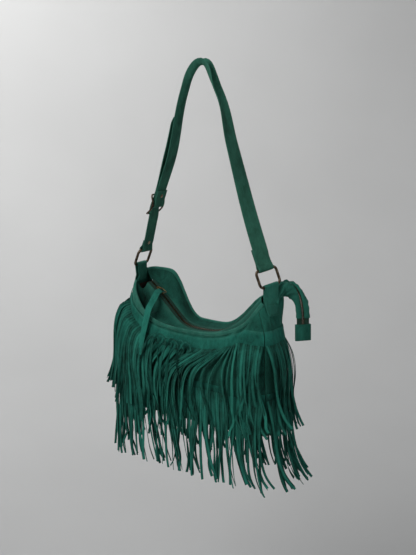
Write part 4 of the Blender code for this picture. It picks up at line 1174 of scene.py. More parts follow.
def lead_directions(side, row, across, down, normal, square, rng):
    """Directions of each strip's first stretches, and how many of them are held."""
    count = len(across)
    held = np.full(count, 2)
    ways = np.repeat(down[:, None], LEADS, axis=1)
    step = np.arange(LEADS)[None, :, None]
    fall = np.array([0, 0, -1.0])
    if row == "upper" and side == "front":
        arch = (1 - smooth(-0.62, -0.42, across))[:, None, None]
        turn = smooth(0, 5, step)
        arched = (unit(square + 0.75 * normal)[:, None] * (1 - turn)
                  + unit(fall + 0.1 * normal)[:, None] * turn)
        ways = ways * (1 - arch) + arched * arch
        held = np.where(across < -0.5, 5, held)
        loops = (across > LOOPED[0]) & (across < LOOPED[1])
        order = np.arange(count)
        start = 62 + 14 * waves(51, 4, 0.5, 1.6)(order) + rng.normal(0, 4, count)
        rate = 39 + 4 * waves(52, 4, 0.4, 1.5)(order) + rng.normal(0, 1.5, count)
        angle = np.radians(start[:, None] - rate[:, None] * step[..., 0])
        lean = unit(np.array([1.0, 0, 0]) + 0.35 * normal)
        curled = (lean[:, None] * np.cos(angle)[..., None] + fall * np.sin(angle)[..., None]
                  + 0.30 * normal[:, None])
        leave = smooth(7, 9, step)
        away = unit(np.array([-0.62, -0.10, -0.78]) + rng.normal(0, 0.05, (count, 3)))
        curled = curled * (1 - leave) + away[:, None] * leave
        ringed = loops & (order % LOOP_EVERY == 0)
        under = smooth(0, 2, step)
        plain = down[:, None] * (1 - under) + away[:, None] * under
        curled = np.where(ringed[:, None, None], curled, plain)
        ways[loops] = curled[loops]
        held = np.where(loops, np.where(ringed, LOOP_HELD, 7), held)
        drag = smooth(0.0, 0.16, across) * (1 - smooth(0.52, 0.70, across))
        slant = unit(np.array([-0.80, -0.05, -0.60]) + rng.normal(0, 0.06, (count, 3)))
        late = smooth(8, 12, step)
        swept = slant[:, None] * (1 - late) + fall * late
        share = (drag * (across >= LOOPED[1]))[:, None, None]
        ways = ways * (1 - share) + swept * share
        held = np.where((across >= LOOPED[1]) & (drag > 0.05), 3 + np.round(8 * drag).astype(int),
                        held)
    if row == "upper" and side == "left":
        lead = (1 - smooth(-1.0, 0.2, across))[:, None, None]
        turn = smooth(0, 5, step)
        out = unit(down + 0.8 * normal)[:, None] * (1 - turn) + fall * turn
        ways = ways * (1 - lead) + out * lead
        held = np.where(across < 0, 4, held)
    return unit(ways), held


def body_push(p, clearance):
    """Moves points out of the bag's body; returns the points and which were touching."""
    x, y = p[..., 0], p[..., 1]
    z = p[..., 2] + BAG_TILT * x
    length = half_length(z) + clearance
    front = y < 0
    depth = half_depth(z, y) + clearance
    inside_x = np.abs(x) < length
    rest = np.clip(1 - np.abs(x / length) ** END_POWER, 0, 1) ** (1 / SIDE_POWER)
    limit = depth * rest
    deep_y = limit - np.abs(y)
    deep_x = (length * np.clip(1 - np.abs(y / depth) ** SIDE_POWER, 0, 1) ** (1 / END_POWER)
              - np.abs(x))
    hit = inside_x & (deep_y > 0) & (deep_x > 0) & (z > BASE_HEIGHT - 0.002)
    by_y = hit & (deep_y <= deep_x)
    by_x = hit & (deep_y > deep_x)
    y = np.where(by_y, np.where(front, -1, 1) * limit, y)
    x = np.where(by_x, np.sign(x) * (np.abs(x) + deep_x), x)
    moved = p.copy()
    moved[..., 0], moved[..., 1] = x, y
    return moved, hit


def part_strips(p, distance):
    """Pushes crossing strips apart."""
    strips, count = p.shape[:2]
    flat = p.reshape(-1, 3)
    owner = np.repeat(np.arange(strips), count)
    tree = KDTree(len(flat))
    points = flat.tolist()
    for i, point in enumerate(points):
        tree.insert(point, i)
    tree.balance()
    shift = np.zeros_like(flat)
    for i, point in enumerate(points):
        for other, j, gap in tree.find_n(point, 4):
            if j <= i or owner[j] == owner[i] or gap >= distance:
                continue
            push = (flat[i] - flat[j]) / max(gap, 1e-5) * (distance - gap) * 0.4
            shift[i] += push
            shift[j] -= push
    size = np.linalg.norm(shift, axis=1, keepdims=True)
    shift *= np.minimum(1, 0.002 / np.maximum(size, 1e-9))
    shift = shift.reshape(p.shape)
    shift[:, :2] = 0
    return p + shift


def settle(roots, ways, held, lengths, forces, curl, clearance, stiffness, steps):
    """Lets strips fall from their roots and rest on the bag and each other."""
    count, strips = STRIP_POINTS, len(roots)
    seg = (lengths / (count - 1))[:, None]
    p = np.zeros((strips, count, 3))
    p[:, 0] = roots
    first = ways[:, 0].copy()
    for k in range(1, count):
        if k < LEADS:
            first = np.where((held > k)[:, None], ways[:, k - 1], first)
        p[:, k] = p[:, k - 1] + unit(first) * seg
        first = unit(first * 0.80 + np.array([0, 0, -1]) * 0.20)
    layered = np.minimum(clearance, 0.004) + 0.0008 * np.minimum(np.arange(count), 8)[None]
    p, _ = body_push(p, layered)
    before = p.copy()
    fixed = p[:, :LEADS].copy()
    fixed[:, 0] = roots
    holding = np.arange(LEADS)[None] < held[:, None]
    nodes = np.arange(count)[None] < np.maximum(held, 2)[:, None]
    pull = np.zeros((strips, count, 3))
    pull[..., 2] = -1
    pull = (pull + forces) * 0.0014
    for step in range(steps):
        speed = (p - before) * 0.55
        before = p.copy()
        p = p + np.clip(speed, -0.003, 0.003) + pull * (1 - 0.6 * smooth(0.6, 1.0, step / steps))
        for _ in range(2):
            p[:, :LEADS][holding] = fixed[holding]
            for k in range(2, count):
                ahead = p[:, k - 1] + unit(unit(p[:, k - 1] - p[:, k - 2]) + curl[:, k]) * seg
                loose = ~nodes[:, k]
                target = p[:, k] + stiffness[:, k:k + 1] * (ahead - p[:, k])
                target = p[:, k - 1] + unit(target - p[:, k - 1]) * seg
                p[loose, k] = target[loose]
            p, hit = body_push(p, clearance)
        if step % 4 == 3:
            p = part_strips(p, PART_DISTANCE)
        grip = hit[..., None] * 0.75
        before = before * (1 - grip) + p * grip
        p[:, :LEADS][holding] = fixed[holding]
    return p


def buried(p, normal):
    """How far each strip's points lie under other strips, 0 to 1."""
    strips, count = p.shape[:2]
    flat = p.reshape(-1, 3)
    owner = np.repeat(np.arange(strips), count)
    tree = KDTree(len(flat))
    for i, point in enumerate(flat.tolist()):
        tree.insert(point, i)
    tree.balance()
    deep = np.zeros(len(flat))
    for i, point in enumerate(flat.tolist()):
        over = [np.dot(flat[j] - flat[i], normal[owner[i]]) for _, j, gap in tree.find_n(point, 9)
                if owner[j] != owner[i] and gap < COVER_REACH]
        deep[i] = sum(min(max(h / 0.004, 0), 1) for h in over) / 4
    return np.minimum(deep, 1).reshape(strips, count)


def strip_mesh(name, p, along, widths, thickness, twist, tone, paint):
    """All the strips of one comb as one mesh of thin flat ribbons, with painted shade along their
    edges.
    """
    strips, count = p.shape[:2]
    tangent = unit(np.gradient(p, axis=1))
    wide = np.zeros_like(p)
    wide[:, 0] = unit(along - tangent[:, 0] * (along * tangent[:, 0]).sum(-1, keepdims=True))
    for k in range(1, count):
        carried = wide[:, k - 1]
        wide[:, k] = unit(carried
                          - tangent[:, k] * (carried * tangent[:, k]).sum(-1, keepdims=True))
    flat = np.cross(tangent, wide)
    turn = twist[..., None]
    wide, flat = (wide * np.cos(turn) + flat * np.sin(turn),
                  flat * np.cos(turn) - wide * np.sin(turn))
    section = np.array([(-0.5, 0.28), (0.0, 0.5), (0.5, 0.28), (0.5, -0.28), (0.0, -0.42),
                        (-0.5, -0.28)])
    points = (p[:, :, None] + wide[:, :, None] * section[:, 0][None, None, :, None]
              * widths[..., None, None]
              + flat[:, :, None] * (section[:, 1] * thickness)[None, None, :, None])
    k = len(section)
    base = np.arange(strips)[:, None, None] * count * k + np.arange(count - 1)[None, :, None] * k
    i = np.arange(k)[None, None, :]
    j = (i + 1) % k
    quads = np.stack([base + i, base + j, base + j + k, base + i + k], -1).reshape(-1, 4)
    starts = np.arange(strips)[:, None] * count * k
    caps = np.vstack([starts + [5, 4, 1, 0], starts + [4, 3, 2, 1]])
    ends = starts + (count - 1) * k
    caps = np.vstack([caps, ends + [0, 1, 4, 5], ends + [1, 2, 3, 4]])
    faces = np.vstack([quads, caps])
    # Each ribbon's edges get painted shade for the dark gaps between strips
    side = np.tile(np.array([1, 0, 1, 1, 0.6, 1.0]), strips * count)
    facts = {"rub": 0.16 * (1 - side),
             "tone": np.clip(np.repeat(tone.ravel(), k) - EDGE_PAINTED_SHADE * side, 0, 1)}
    return shown(name, points.reshape(-1, 3), faces[:, ::-1], paint, 50, facts)


def make_row(row, sizes, colours):
    """Both bands and strips of one row, all round the bag."""
    rng = np.random.default_rng(5 if row == "upper" else 6)
    paint = suede("suede_fringe", colours)
    sets = []
    for side in SIDES:
        across, here, along, down, normal, square = strip_roots(side, row, sizes.strip_pitch)
        ways, held = lead_directions(side, row, across, down, normal, square, rng)
        sets.append((side, across, here, along, normal, ways, held))
    total = sum(len(s[1]) for s in sets)
    order = np.arange(total)
    side_of = np.concatenate([np.full(len(s[1]), k) for k, s in enumerate(sets)])
    across, roots, along, normal, ways, held = [np.concatenate([s[k] for s in sets])
                                                for k in range(1, 7)]
    count = STRIP_POINTS
    share = np.linspace(0, 1, count)[None]
    lengths = (sizes.strip_length
               * (1 + LENGTH_WAVE * waves(31, 6, 0.2, 1.4)(order)
                  + rng.uniform(-LENGTH_SCATTER, LENGTH_SCATTER, total)))
    forces = np.zeros((total, count, 3))
    sway = SWAY * waves(33, 7, 0.25, 1.1)(order) + rng.normal(0, SWAY_SCATTER, total)
    tangent = along * [1, 1, 0]
    forces += (sway[:, None] * (0.3 + share))[..., None] * tangent[:, None]
    bend = rng.normal(0, BEND_SCATTER, total)
    waving = bend[:, None] * np.sin(share * math.pi * 2 + rng.uniform(0, 6, total)[:, None])
    forces += waving[..., None] * tangent[:, None]
    proud = rng.normal(*PROUD, total)[:, None] * share
    forces += proud[..., None] * normal[:, None]
    rightness = smooth(0.35, 1.0, roots[:, 0] / SIDE_REACH)
    leftness = smooth(0.35, 1.0, -roots[:, 0] / SIDE_REACH)
    push = (rightness * rng.uniform(0.15, RIGHT_PUSH[row], total))[:, None] * share ** 2
    forces[..., 0] += push
    flare = leftness * rng.uniform(0.05, 0.30, total) * LEFT_FLARE[row]
    forces[..., 0] -= flare[:, None] * share ** 1.3
    forces[..., 0] += ((0.14 + 0.10 * waves(35, 5, 0.1, 0.5)(order))[:, None] * share ** 2
                       * DRIFT[row])
    stiffness = 0.10 + 0.55 * np.exp(-np.arange(count)[None] / 2.2) + np.zeros((total, 1))
    curl = rng.normal(0, CURL_SCATTER, total)[:, None] * smooth(0.1, 0.6, share)
    tip_curl = rng.normal(*TIP_CURL, total) + 0.06 * rightness
    curl = curl + tip_curl[:, None] * smooth(0.72, 1.0, share)
    curl = curl[..., None] * tangent[:, None]
    steps = sizes.settle_steps
    upper_front = (side_of == 0) & (row == "upper")
    swept = upper_front & (across >= LOOPED[1]) & (across < SWEPT_END)
    clearance = np.where(swept, SWEPT_CLEARANCE, CLEARANCE[row])[:, None]
    p = settle(roots, ways, held, lengths, forces, curl, clearance, np.clip(stiffness, 0, 0.9),
               steps)
    end_turn = rng.normal(0, 0.55, total)
    flips = rng.random(total) < FLIP_SHARE
    end_turn = np.where(flips, end_turn + np.sign(end_turn) * FLIP_TURN, end_turn)
    wobble = (rng.normal(0, 0.22, total)[:, None]
              * np.sin(share * rng.uniform(4, 11, total)[:, None]))
    twist = end_turn[:, None] * smooth(0.05, 1.0, share) + wobble * smooth(0, 0.2, share)
    coiled = upper_front & (across > LOOPED[0]) & (across < LOOPED[1]) & (order % LOOP_EVERY == 0)
    nodes = np.arange(count)[None]
    twist = twist + coiled[:, None] * math.pi / 2 * smooth(0, 2, nodes) * (1 - smooth(8, 12, nodes))
    widths = (sizes.strip_width
              * (1 + rng.normal(0, 0.06, total)[:, None]
                 + 0.05 * np.sin(share * 9 + rng.uniform(0, 6, total)[:, None])))
    widths = widths * (1 - 0.06 * share)
    # Random tone of each strip, less painted shade near the cut, where a strip hangs in behind its
    # root and where other strips lie over it
    tone = np.clip(rng.normal(*STRIP_TONE, total), 0, 1)[:, None] + 0 * share
    deep = np.linalg.norm(p[..., :2], axis=-1) - np.linalg.norm(roots[:, None, :2], axis=-1)
    tone = (tone - CUT_PAINTED_SHADE * smooth(0.10, 0.0, share) - DEEP_PAINTED_SHADE * smooth(0.004, -0.004, deep)
            - BURIED_PAINTED_SHADE * buried(p, normal))
    tone = np.clip(tone, 0, 1)
    for k, (side, *_) in enumerate(sets):
        pick = side_of == k
        made = strip_mesh("fringe_strips_%s_%s" % (row, side), p[pick], along[pick], widths[pick],
                          sizes.strip_thickness, twist[pick], tone[pick], paint)
        placed(made, BAG, "fringe_suede", "fringe_%s_%s" % (row, side))
        band = placed(band_sheet(row, side, paint), BAG, "fringe_suede")
        cloth(band, "hung", "wall_" + side, with_pieces=[made])


# Straps, rings and buckle
def strap_mesh(name, route, wide, width, thickness, paint, fold=None, columns=9, rub_edge=0.35):
    """A strap with softened edges; fold is the angle of each half about the middle line."""
    route, wide = np.asarray(route, float), np.asarray(wide, float)
    along = unit(np.gradient(route, axis=0))
    wide = unit(wide - along * (wide * along).sum(-1, keepdims=True))
    normal = unit(np.cross(along, wide))
    fold = np.zeros(len(route)) if fold is None else np.asarray(fold)
    u = np.linspace(-1, 1, columns)
    reach = u[None] * np.broadcast_to(np.asarray(width), len(route))[:, None] / 2
    bend = np.sign(u)[None] * smooth(0, 0.35, np.abs(u))[None] * fold[:, None]
    run = np.concatenate([np.zeros((len(route), 1)), np.diff(reach, axis=1)], 1)
    centre = columns // 2
    angle = (bend + np.roll(bend, 1, axis=1)) / 2
    angle[:, 0] = bend[:, 0]
    side_x = np.cumsum(run * np.cos(angle), axis=1)
    side_n = np.cumsum(run * -np.sin(angle), axis=1)
    side_x -= side_x[:, centre:centre + 1]
    side_n -= side_n[:, centre:centre + 1]
    grid = route[:, None] + wide[:, None] * side_x[..., None] + normal[:, None] * side_n[..., None]
    up = np.sin(bend)[..., None] * wide[:, None] + np.cos(bend)[..., None] * normal[:, None]
    half = np.full(grid.shape[:2], thickness / 2)
    half[:, 0] *= 0.55
    half[:, -1] *= 0.55
    up = unit(up)
    rub = np.zeros(grid.shape[:2])
    rub[:, 0] = rub[:, -1] = rub_edge
    rub[:, centre] += 0.5 * smooth(0.3, 1.0, fold)
    return sheet_mesh(name, grid + up * half[..., None], grid - up * half[..., None], paint,
                      {"rub": rub})


def strap_route():
    """Middle line, width directions and fold angle of the long strap."""
    right, buckle = ring_frame("right"), buckle_axes()
    top_bar = Frame(right.at(RING_BARS), right.up, right.wide)
    start = loop_route(top_bar, RING_WIRE, STRAP_THICKNESS, STRAP_FOLD)[::-1]
    end = loop_route(buckle, PIN_BAR, STRAP_THICKNESS, BUCKLE_FOLD)
    crown = [np.array([0.0, 0, STRAP_THICKNESS / 2 + 0.0030])]
    middle = leg_points(RIGHT_LEG[::-1]) + crown + leg_points(LEFT_LEG)
    run = relaxed(through([start[-1]] + middle + [end[0]], 0.005), 12)
    run[:, 2] -= max(run[:, 2]) - STRAP_THICKNESS / 2
    run[:, 2][0], run[:, 2][-1] = start[-1][2], end[0][2]
    front = np.array([0, 1.0, 0])
    top = int(np.argmax(run[:, 2]))
    wide_run = np.vstack([even_widths(run[:top + 1], right.wide, front),
                          [front] * (len(run) - top - 1)])
    route = np.vstack([start, run[1:-1], end])
    wide = np.vstack([[right.wide] * len(start), wide_run[1:-1], [front] * len(end)])
    z = route[:, 2]
    on_right = np.arange(len(route)) < len(start) + top
    fold = np.where(on_right, 34 * smooth(-0.165, -0.060, z), 30 * smooth(-0.210, -0.060, z))
    fold = fold + 30 * smooth(-0.050, -0.010, z)
    return route, wide, np.radians(fold)


def billet_route():
    left, buckle = ring_frame("left"), buckle_axes()
    top_bar = Frame(left.at(RING_BARS), left.up, left.wide)
    start = loop_route(top_bar, RING_WIRE, STRAP_THICKNESS, BILLET_FOLD, BILLET_LEAD, -1)[::-1]
    wrap = PIN_BAR / 2 + 1.5 * STRAP_THICKNESS + 3 * LAYER_GAP
    close = 1.5 * STRAP_THICKNESS + 2 * LAYER_GAP + RIVET_FLAT
    through_buckle = [buckle.at(up, out) for up, out in
                      [(-0.048, 0.0008), (-0.026, 0.0030), (-0.013, wrap), (-0.004, wrap + 0.0006),
                       (0.004, wrap + 0.0006), (0.014, close + 0.0010), (0.024, close + 0.0003)]]
    side = np.array([0, 1.0, 0])
    tail = []
    leg = through([buckle.at(0.026)] + leg_points(LEFT_LEG[::-1]), 0.014)
    for point, forward in zip(leg, np.gradient(leg, axis=0)):
        if point[2] > -BILLET_TAIL_DROP:
            break
        out = unit(np.cross(side, unit(forward)))
        out = out if out[0] < 0 else -out
        height = smooth(-0.28, -0.19, point[2]) * (1 - smooth(-0.125, -0.100, point[2]))
        tail.append(point + out * (close + 0.0058 * height))
    route = np.vstack([start, through([start[-1]] + through_buckle + tail[1:], 0.005)[1:]])
    return route, np.array([side] * len(route))


def ring_mesh(side, paint):
    axes = ring_frame(side)
    half = (RING_INNER + RING_WIRE) / 2
    path = resampled([axes.at(up, 0, wide)
                      for wide, up in rounded_loop(half, 0, RING_BARS, RING_TURN)
                      + [(half, RING_BARS - RING_TURN)]], 0.0022)[:-1]
    return tube("ring_wire_" + side, path, axes.out, RING_WIRE, RING_WIRE, paint, 18, 1.0, True)


def buckle_parts():
    axes = buckle_axes()
    half = (BUCKLE_INNER + BUCKLE_WIRE) / 2
    bars = BUCKLE_BARS / 2
    outline = rounded_loop(half, -bars, bars, BUCKLE_CORNER)
    outline = np.array([(wide, up, 0) for wide, up in outline + outline[:1]])
    path = [axes.at(up, BUCKLE_ARCH * (up / bars) ** 2, wide)
            for wide, up, flat in resampled(outline, 0.0022)[:-1]]
    rim = tube_rings(path, axes.out, BUCKLE_WIRE * 0.98, BUCKLE_WIRE * 0.98, 14, 0.8, True)
    bar = tube_rings(resampled([axes.at(0, 0, -half), axes.at(0, 0, half)], 0.004), axes.out,
                     PIN_BAR, PIN_BAR, 12)
    return [(rim, tube_faces(len(rim), 14, 0, True)), (bar, tube_faces(len(bar), 12))]


def tongue_parts():
    axes = buckle_axes()
    around = PIN_BAR / 2 + TONGUE_WIRE / 2 + LAYER_GAP
    path = [axes.at(around * math.sin(a), around * math.cos(a))
            for a in np.radians(np.linspace(265, 5, 14))]
    tip = BUCKLE_ARCH + (BUCKLE_WIRE + TONGUE_WIRE) / 2 + LAYER_GAP
    path += [axes.at(-0.007, 0.0060), axes.at(-0.018, tip), axes.at(-BUCKLE_BARS / 2 - 0.001, tip)]
    path = resampled(relaxed(resampled(path, 0.0015), 2), 0.0015)
    size = TONGUE_WIRE * np.interp(np.linspace(0, 1, len(path)), [0, 0.9, 1], [1, 1, 0.55])
    rings = tube_rings(path, (0, 1, 0), size, size, 10)
    return [(rings, tube_faces(len(rings), 10))]


def rivet_parts(centre, axis):
    reach = STRAP_THICKNESS + 1.7 * LAYER_GAP
    head = [(0, reach + 0.00145), (0.0016, reach + 0.0014), (0.0030, reach + 0.00115),
            (0.0039, reach + 0.0007),
            (RIVET_HEAD, reach + 0.0003), (RIVET_HEAD * 0.97, reach - 0.0001), (0, reach - 0.0001)]
    flat = [(0, -reach + 0.0001), (RIVET_HEAD * 0.8, -reach + 0.0001),
            (RIVET_HEAD * 0.8, -reach - RIVET_FLAT * 0.6),
            (RIVET_HEAD * 0.7, -reach - RIVET_FLAT), (0, -reach - RIVET_FLAT)]
    return [turned(head, centre, axis), turned(flat, centre, axis)]


def tab_mesh(side, paint):
    """Suede tab that holds a ring: outside leg, loop round the bar, inside leg."""
    axes = ring_frame(side)
    clear = TAB_THICKNESS / 2 + LAYER_GAP
    top = -HANG_DROP + 0.003 - ROLLED_EDGE
    columns = np.linspace(-0.5, 0.5, 11)

    def leg(offset, drops):
        rows = []
        for drop in drops:
            place = columns * TAB_WIDTH / half_depth(top - drop, columns) / SEAM_Y
            rows.append(on_wall(side, place, top - drop, offset))
        return rows

    around = RING_WIRE / 2 + clear
    flip = 1 if side == "right" else -1
    loop = [[axes.at(around * math.sin(a), around * math.cos(a), wide * TAB_WIDTH * flip)
             for wide in columns]
            for a in np.linspace(-0.15, math.pi + 0.15, 14)]
    rows = leg(clear + TAB_SEAT, np.linspace(TAB_LENGTH, 0.002, 14)) + loop
    rows += leg(-SUEDE - clear - TAB_SEAT, np.linspace(0.002, TAB_INSIDE, 6))
    rows = np.array(rows)
    made = soft_sheet("ring_loop_tab_" + side, rows, TAB_THICKNESS, paint,
                      {"rub": 0.25
                       + 0.35 * np.exp(-((np.arange(len(rows)) - 21) / 5.0) ** 2)[:, None]
                       + 0 * rows[..., 0]})
    outside = rows[:14]
    normal = grid_normal(rows)[:14]
    if (normal[5, 5] * outward(wall_point(side, 0.0, top))).sum() < 0:
        normal = -normal
    box = np.vstack([outside[1:9, 1], outside[8, 1:10], outside[8:0:-1, 9], outside[1, 9:0:-1]])
    face = np.vstack([normal[1:9, 1], normal[8, 1:10], normal[8:0:-1, 9], normal[1, 9:0:-1]])
    return made, stitch_parts(box + face * TAB_THICKNESS / 2, face)


# Zip
def zip_tape(side, paint):
    line = fine_zip(0.004)
    sign = -1 if side == "front" else 1
    start = ZIP_SLOT / 2 - 0.0002
    ys = sign * np.linspace(start,
                            ZIP_SLOT / 2 + TEETH_WIDTH + SEAM_GAP + TAPE_WIDTH + FACING_GAP * 0.5,
                            6)
    grid = line[:, None] + zip_widths(line)[:, None] * ys[None, :, None]
    return soft_sheet("zip_cloth_" + side, grid, 0.0008, paint, {"rub": np.zeros(grid.shape[:2])})


def zip_teeth(side):
    """Interlocking metal teeth, each a small waisted block."""
    line = fine_zip(0.0010)
    sign = -1 if side == "front" else 1
    shift = 0 if side == "front" else 1
    widths = zip_widths(line)
    parts = []
    reach = ZIP_SLOT / 2 + TEETH_WIDTH
    thick = TEETH_THICKNESS * 0.46
    for k in range(2 + shift, len(line) - 2, 2):
        centre, along = line[k], unit(line[k + 1] - line[k - 1])
        side_axis = sign * widths[k]
        up = np.cross(along, side_axis)
        points = []
        for t, wide, tall in ((-0.10, 0.36, 0.8), (0.30, 0.44, 1.0), (0.62, 0.34, 1.0),
                              (1.0, 0.42, 0.9)):
            for a, b in ((-1, -1), (1, -1), (1, 1), (-1, 1)):
                points.append(centre + side_axis * reach * t + along * a * 0.00105 * wide
                              + up * b * thick * tall)
        parts.append((points, tube_faces(4, 4)))
    return parts


def slider_parts():
    axes = slider_axes()
    inner = TEETH_THICKNESS / 2 + SLIDER_CLEARANCE
    outer = inner + SLIDER_PLATE
    parts = []
    ring = SLIDER_OUTLINE + [(up, -half) for up, half in SLIDER_OUTLINE[::-1]]
    n = len(ring)
    for face in (-1, 1):
        points, faces = [], []
        for level, shrink in ((inner, 1.0), (outer - 0.0004, 1.0), (outer, 0.88)):
            for up, half in ring:
                points.append(axes.at(SLIDER_LENGTH / 2 + (up - SLIDER_LENGTH / 2) * shrink,
                                      face * level,
                                      half * shrink))
        for layer in range(2):
            for k in range(n):
                j = (k + 1) % n
                faces.append((layer * n + k, layer * n + j, (layer + 1) * n + j,
                              (layer + 1) * n + k))
        faces.append(tuple(range(n))[::-1])
        faces.append(tuple(range(2 * n, 3 * n)))
        parts.append((points, faces))
    web = tube_rings([axes.at(0.001), axes.at(0.011)], axes.wide, 0.0012, 2 * inner + 0.0004, 8,
                     0.5)
    parts.append((web, tube_faces(2, 8)))
    face = zip_face(axes)
    path = [axes.at(SLIDER_LENGTH / 2 - 0.0038 * math.cos(a),
                    face * (outer - 0.0006 + 0.0042 * math.sin(a)))
            for a in np.radians(np.linspace(0, 180, 15))]
    crown = tube_rings(path, axes.wide, 0.0024, 0.0012, 10, 0.7)
    parts.append((crown, tube_faces(15, 10)))
    return parts


def puller_parts():
    axes = puller_axes()
    path = resampled([axes.at(up, 0, wide) for wide, up in
                      rounded_loop(PULLER_WIDTH / 2, 0, PULLER_LENGTH, 0.002)
                      + [(PULLER_WIDTH / 2, PULLER_LENGTH - 0.002)]], 0.0012)[:-1]
    rings = tube_rings(path, axes.out, PULLER_WIRE, PULLER_WIRE, 10, 1.0, True)
    return [(rings, tube_faces(len(rings), 10, 0, True))]


def pull_route():
    axes = puller_axes()
    bar = Frame(axes.at(PULLER_LENGTH / 2) - axes.wide * PULLER_WIDTH / 2, -axes.wide, axes.up)
    top = 1 if bar.out[2] > 0 else -1
    loop = loop_route(bar, PULLER_WIRE, PULL_THICKNESS, 0.016, 0.012, top)[::-1]
    run = through([loop[-1]] + [np.array(p) for p in PULL_ROUTE], 0.005)[1:]
    wide = np.vstack([[bar.wide] * len(loop), even_widths(run, bar.wide, (1, 0, -0.1))])
    return np.vstack([loop, run]), wide, len(loop)


def end_tab_mesh(paint):
    line = zip_line()
    down = unit(line[-1] - line[-2])
    axes = Frame(line[-1] - down * 0.010, -down, zip_widths(line)[-1])
    gap = TEETH_THICKNESS / 2 + TAB_THICKNESS / 2 + LAYER_GAP
    length = END_TAB_LENGTH
    route = [axes.at(-up, gap) for up in np.linspace(0, length - gap, 10)]
    route += [axes.at(-(length - gap) - gap * math.sin(a), gap * math.cos(a))
              for a in np.radians(np.linspace(15, 165, 9))]
    route += [axes.at(-up, -gap) for up in np.linspace(length - gap, 0, 10)]
    route = np.array(route)
    made = strap_mesh("zip_tail_tab", route, [axes.wide] * len(route), END_TAB_WIDTH,
                      TAB_THICKNESS, paint, columns=9)
    inset = END_TAB_WIDTH / 2 - 0.003
    low = length - 0.004
    parts = []
    for face in (1, -1):
        out = axes.out * face
        corners = [axes.at(-0.003, 0, -inset), axes.at(-low, 0, -inset), axes.at(-low, 0, inset),
                   axes.at(-0.003, 0, inset), axes.at(-0.003, 0, -inset)]
        box = resampled(np.array(corners), 0.002) + out * (gap + TAB_THICKNESS / 2)
        parts += stitch_parts(box, np.tile(out, (len(box), 1)))
    return made, parts


def tail_puff(paint):
    """The gathered suede of the facing round the zip where it leaves the mouth."""
    line = fine_zip(0.003)
    keep = line[line[:, 0] > TAB_X - 0.024][:-8]
    places = np.linspace(0, 1, len(keep))
    gathered = smooth(0.10, 0.22, places) * (1 - smooth(0.40, 0.80, places))
    parts = []
    for sign in (-1, 1):
        inner = ZIP_SLOT / 2 + TEETH_WIDTH * 0.85 - 0.0008 * gathered
        along = unit(np.gradient(keep, axis=0))
        side = zip_widths(keep)
        up = unit(np.cross(along, side))
        up = np.where((up * [0.6, -0.3, 0.7]).sum(-1, keepdims=True) < 0, -up, up)
        ripple = waves(77 + sign, 6, 30, 80)(places)
        outer = (0.0150 + (0.0210 if sign < 0 else 0.0090) * gathered
                 + 0.0016 * ripple * (0.5 + gathered))
        grid = []
        for t in np.linspace(0, 1, 10):
            y = sign * (inner + (outer - inner) * t)
            crest = math.sin(math.pi * min(t * 1.05, 1.0))
            bulge = (0.0012 + 0.0085 * gathered + (0.0005 + 0.0026 * gathered) * ripple) * crest
            drop = TAIL_DROP * gathered * t ** 1.7
            grid.append(keep + side * y[:, None] + up * (0.0022 + bulge - drop)[:, None])
        parts.append(soft_sheet("zip_tail_suede_" + ("front" if sign < 0 else "back"),
                                np.array(grid), 0.0014, paint,
                                {"rub": np.full((10, len(keep)), 0.15)}))
    return parts


# Settings
def tint(label, note, value):
    return FloatVectorProperty(name=label, description=note, subtype="COLOR", size=3, min=0, max=1,
                               default=value)


class BagColours(bpy.types.PropertyGroup):
    body: tint("Body", "Suede of the walls, rims and tabs", (0.018, 0.124, 0.091))
    fringe: tint("Fringe", "Suede of the strips and the pull", (0.019, 0.165, 0.124))
    strap: tint("Strap", "Suede of the straps", (0.034, 0.140, 0.097))
    # The rubbed colour paints worn edges and crests, and also the painted highlight on the rolled
    # rims and the facings' zip edges
    rubbed: tint("Rubbed suede", "Paler suede on edges and crests", (0.060, 0.225, 0.170))
    bronze: tint("Bronze", "Rings, buckle and rivets", (0.130, 0.098, 0.068))
    brass: tint("Brass", "Teeth, slider and puller", (0.22, 0.14, 0.06))
    tape: tint("Zip tape", "Woven tape beside the teeth", (0.022, 0.060, 0.044))
    lining: tint("Lining", "Woven lining seen in the mouth", (0.060, 0.038, 0.026))
    thread: tint("Thread", "Sewing thread", (0.018, 0.085, 0.060))


class FringeSizes(bpy.types.PropertyGroup):
    strip_width: FloatProperty(name="Strip width", description="Width of one strip", unit="LENGTH",
                               default=0.0060, min=0.002, max=0.010)
    strip_pitch: FloatProperty(name="Strip pitch", description="Spacing of the cuts", unit="LENGTH",
                               default=0.0056, min=0.003, max=0.012)
    strip_length: FloatProperty(name="Strip length", description="Length of a strip from its cut",
                                unit="LENGTH",
                                default=0.200, min=0.05, max=0.30)
    strip_thickness: FloatProperty(name="Strip thickness",
                                   description="Thickness of the fringe's suede",
                                   unit="LENGTH", default=0.0014, min=0.0006, max=0.003)
    settle_steps: IntProperty(name="Settling steps",
                              description="Steps the strips are given to come to rest",
                              default=150, min=20, max=600)


class StageLook(bpy.types.PropertyGroup):
    backdrop: tint("Backdrop", "Colour of the floor and wall", (0.57, 0.575, 0.58))
    wall_light: FloatProperty(name="Wall light", description="Power of the light on the backdrop",
                              unit="POWER",
                              default=125.0, min=0, max=900)
    key_light: FloatProperty(name="Key light", description="Power of the large soft light",
                             unit="POWER",
                             default=33.0, min=0, max=500)
    fill_light: FloatProperty(name="Fill light",
                              description="Power of the light from the other side", unit="POWER",
                              default=4.0, min=0, max=500)
    world: FloatProperty(name="World", description="Strength of the light from all round",
                         default=0.14, min=0, max=3)


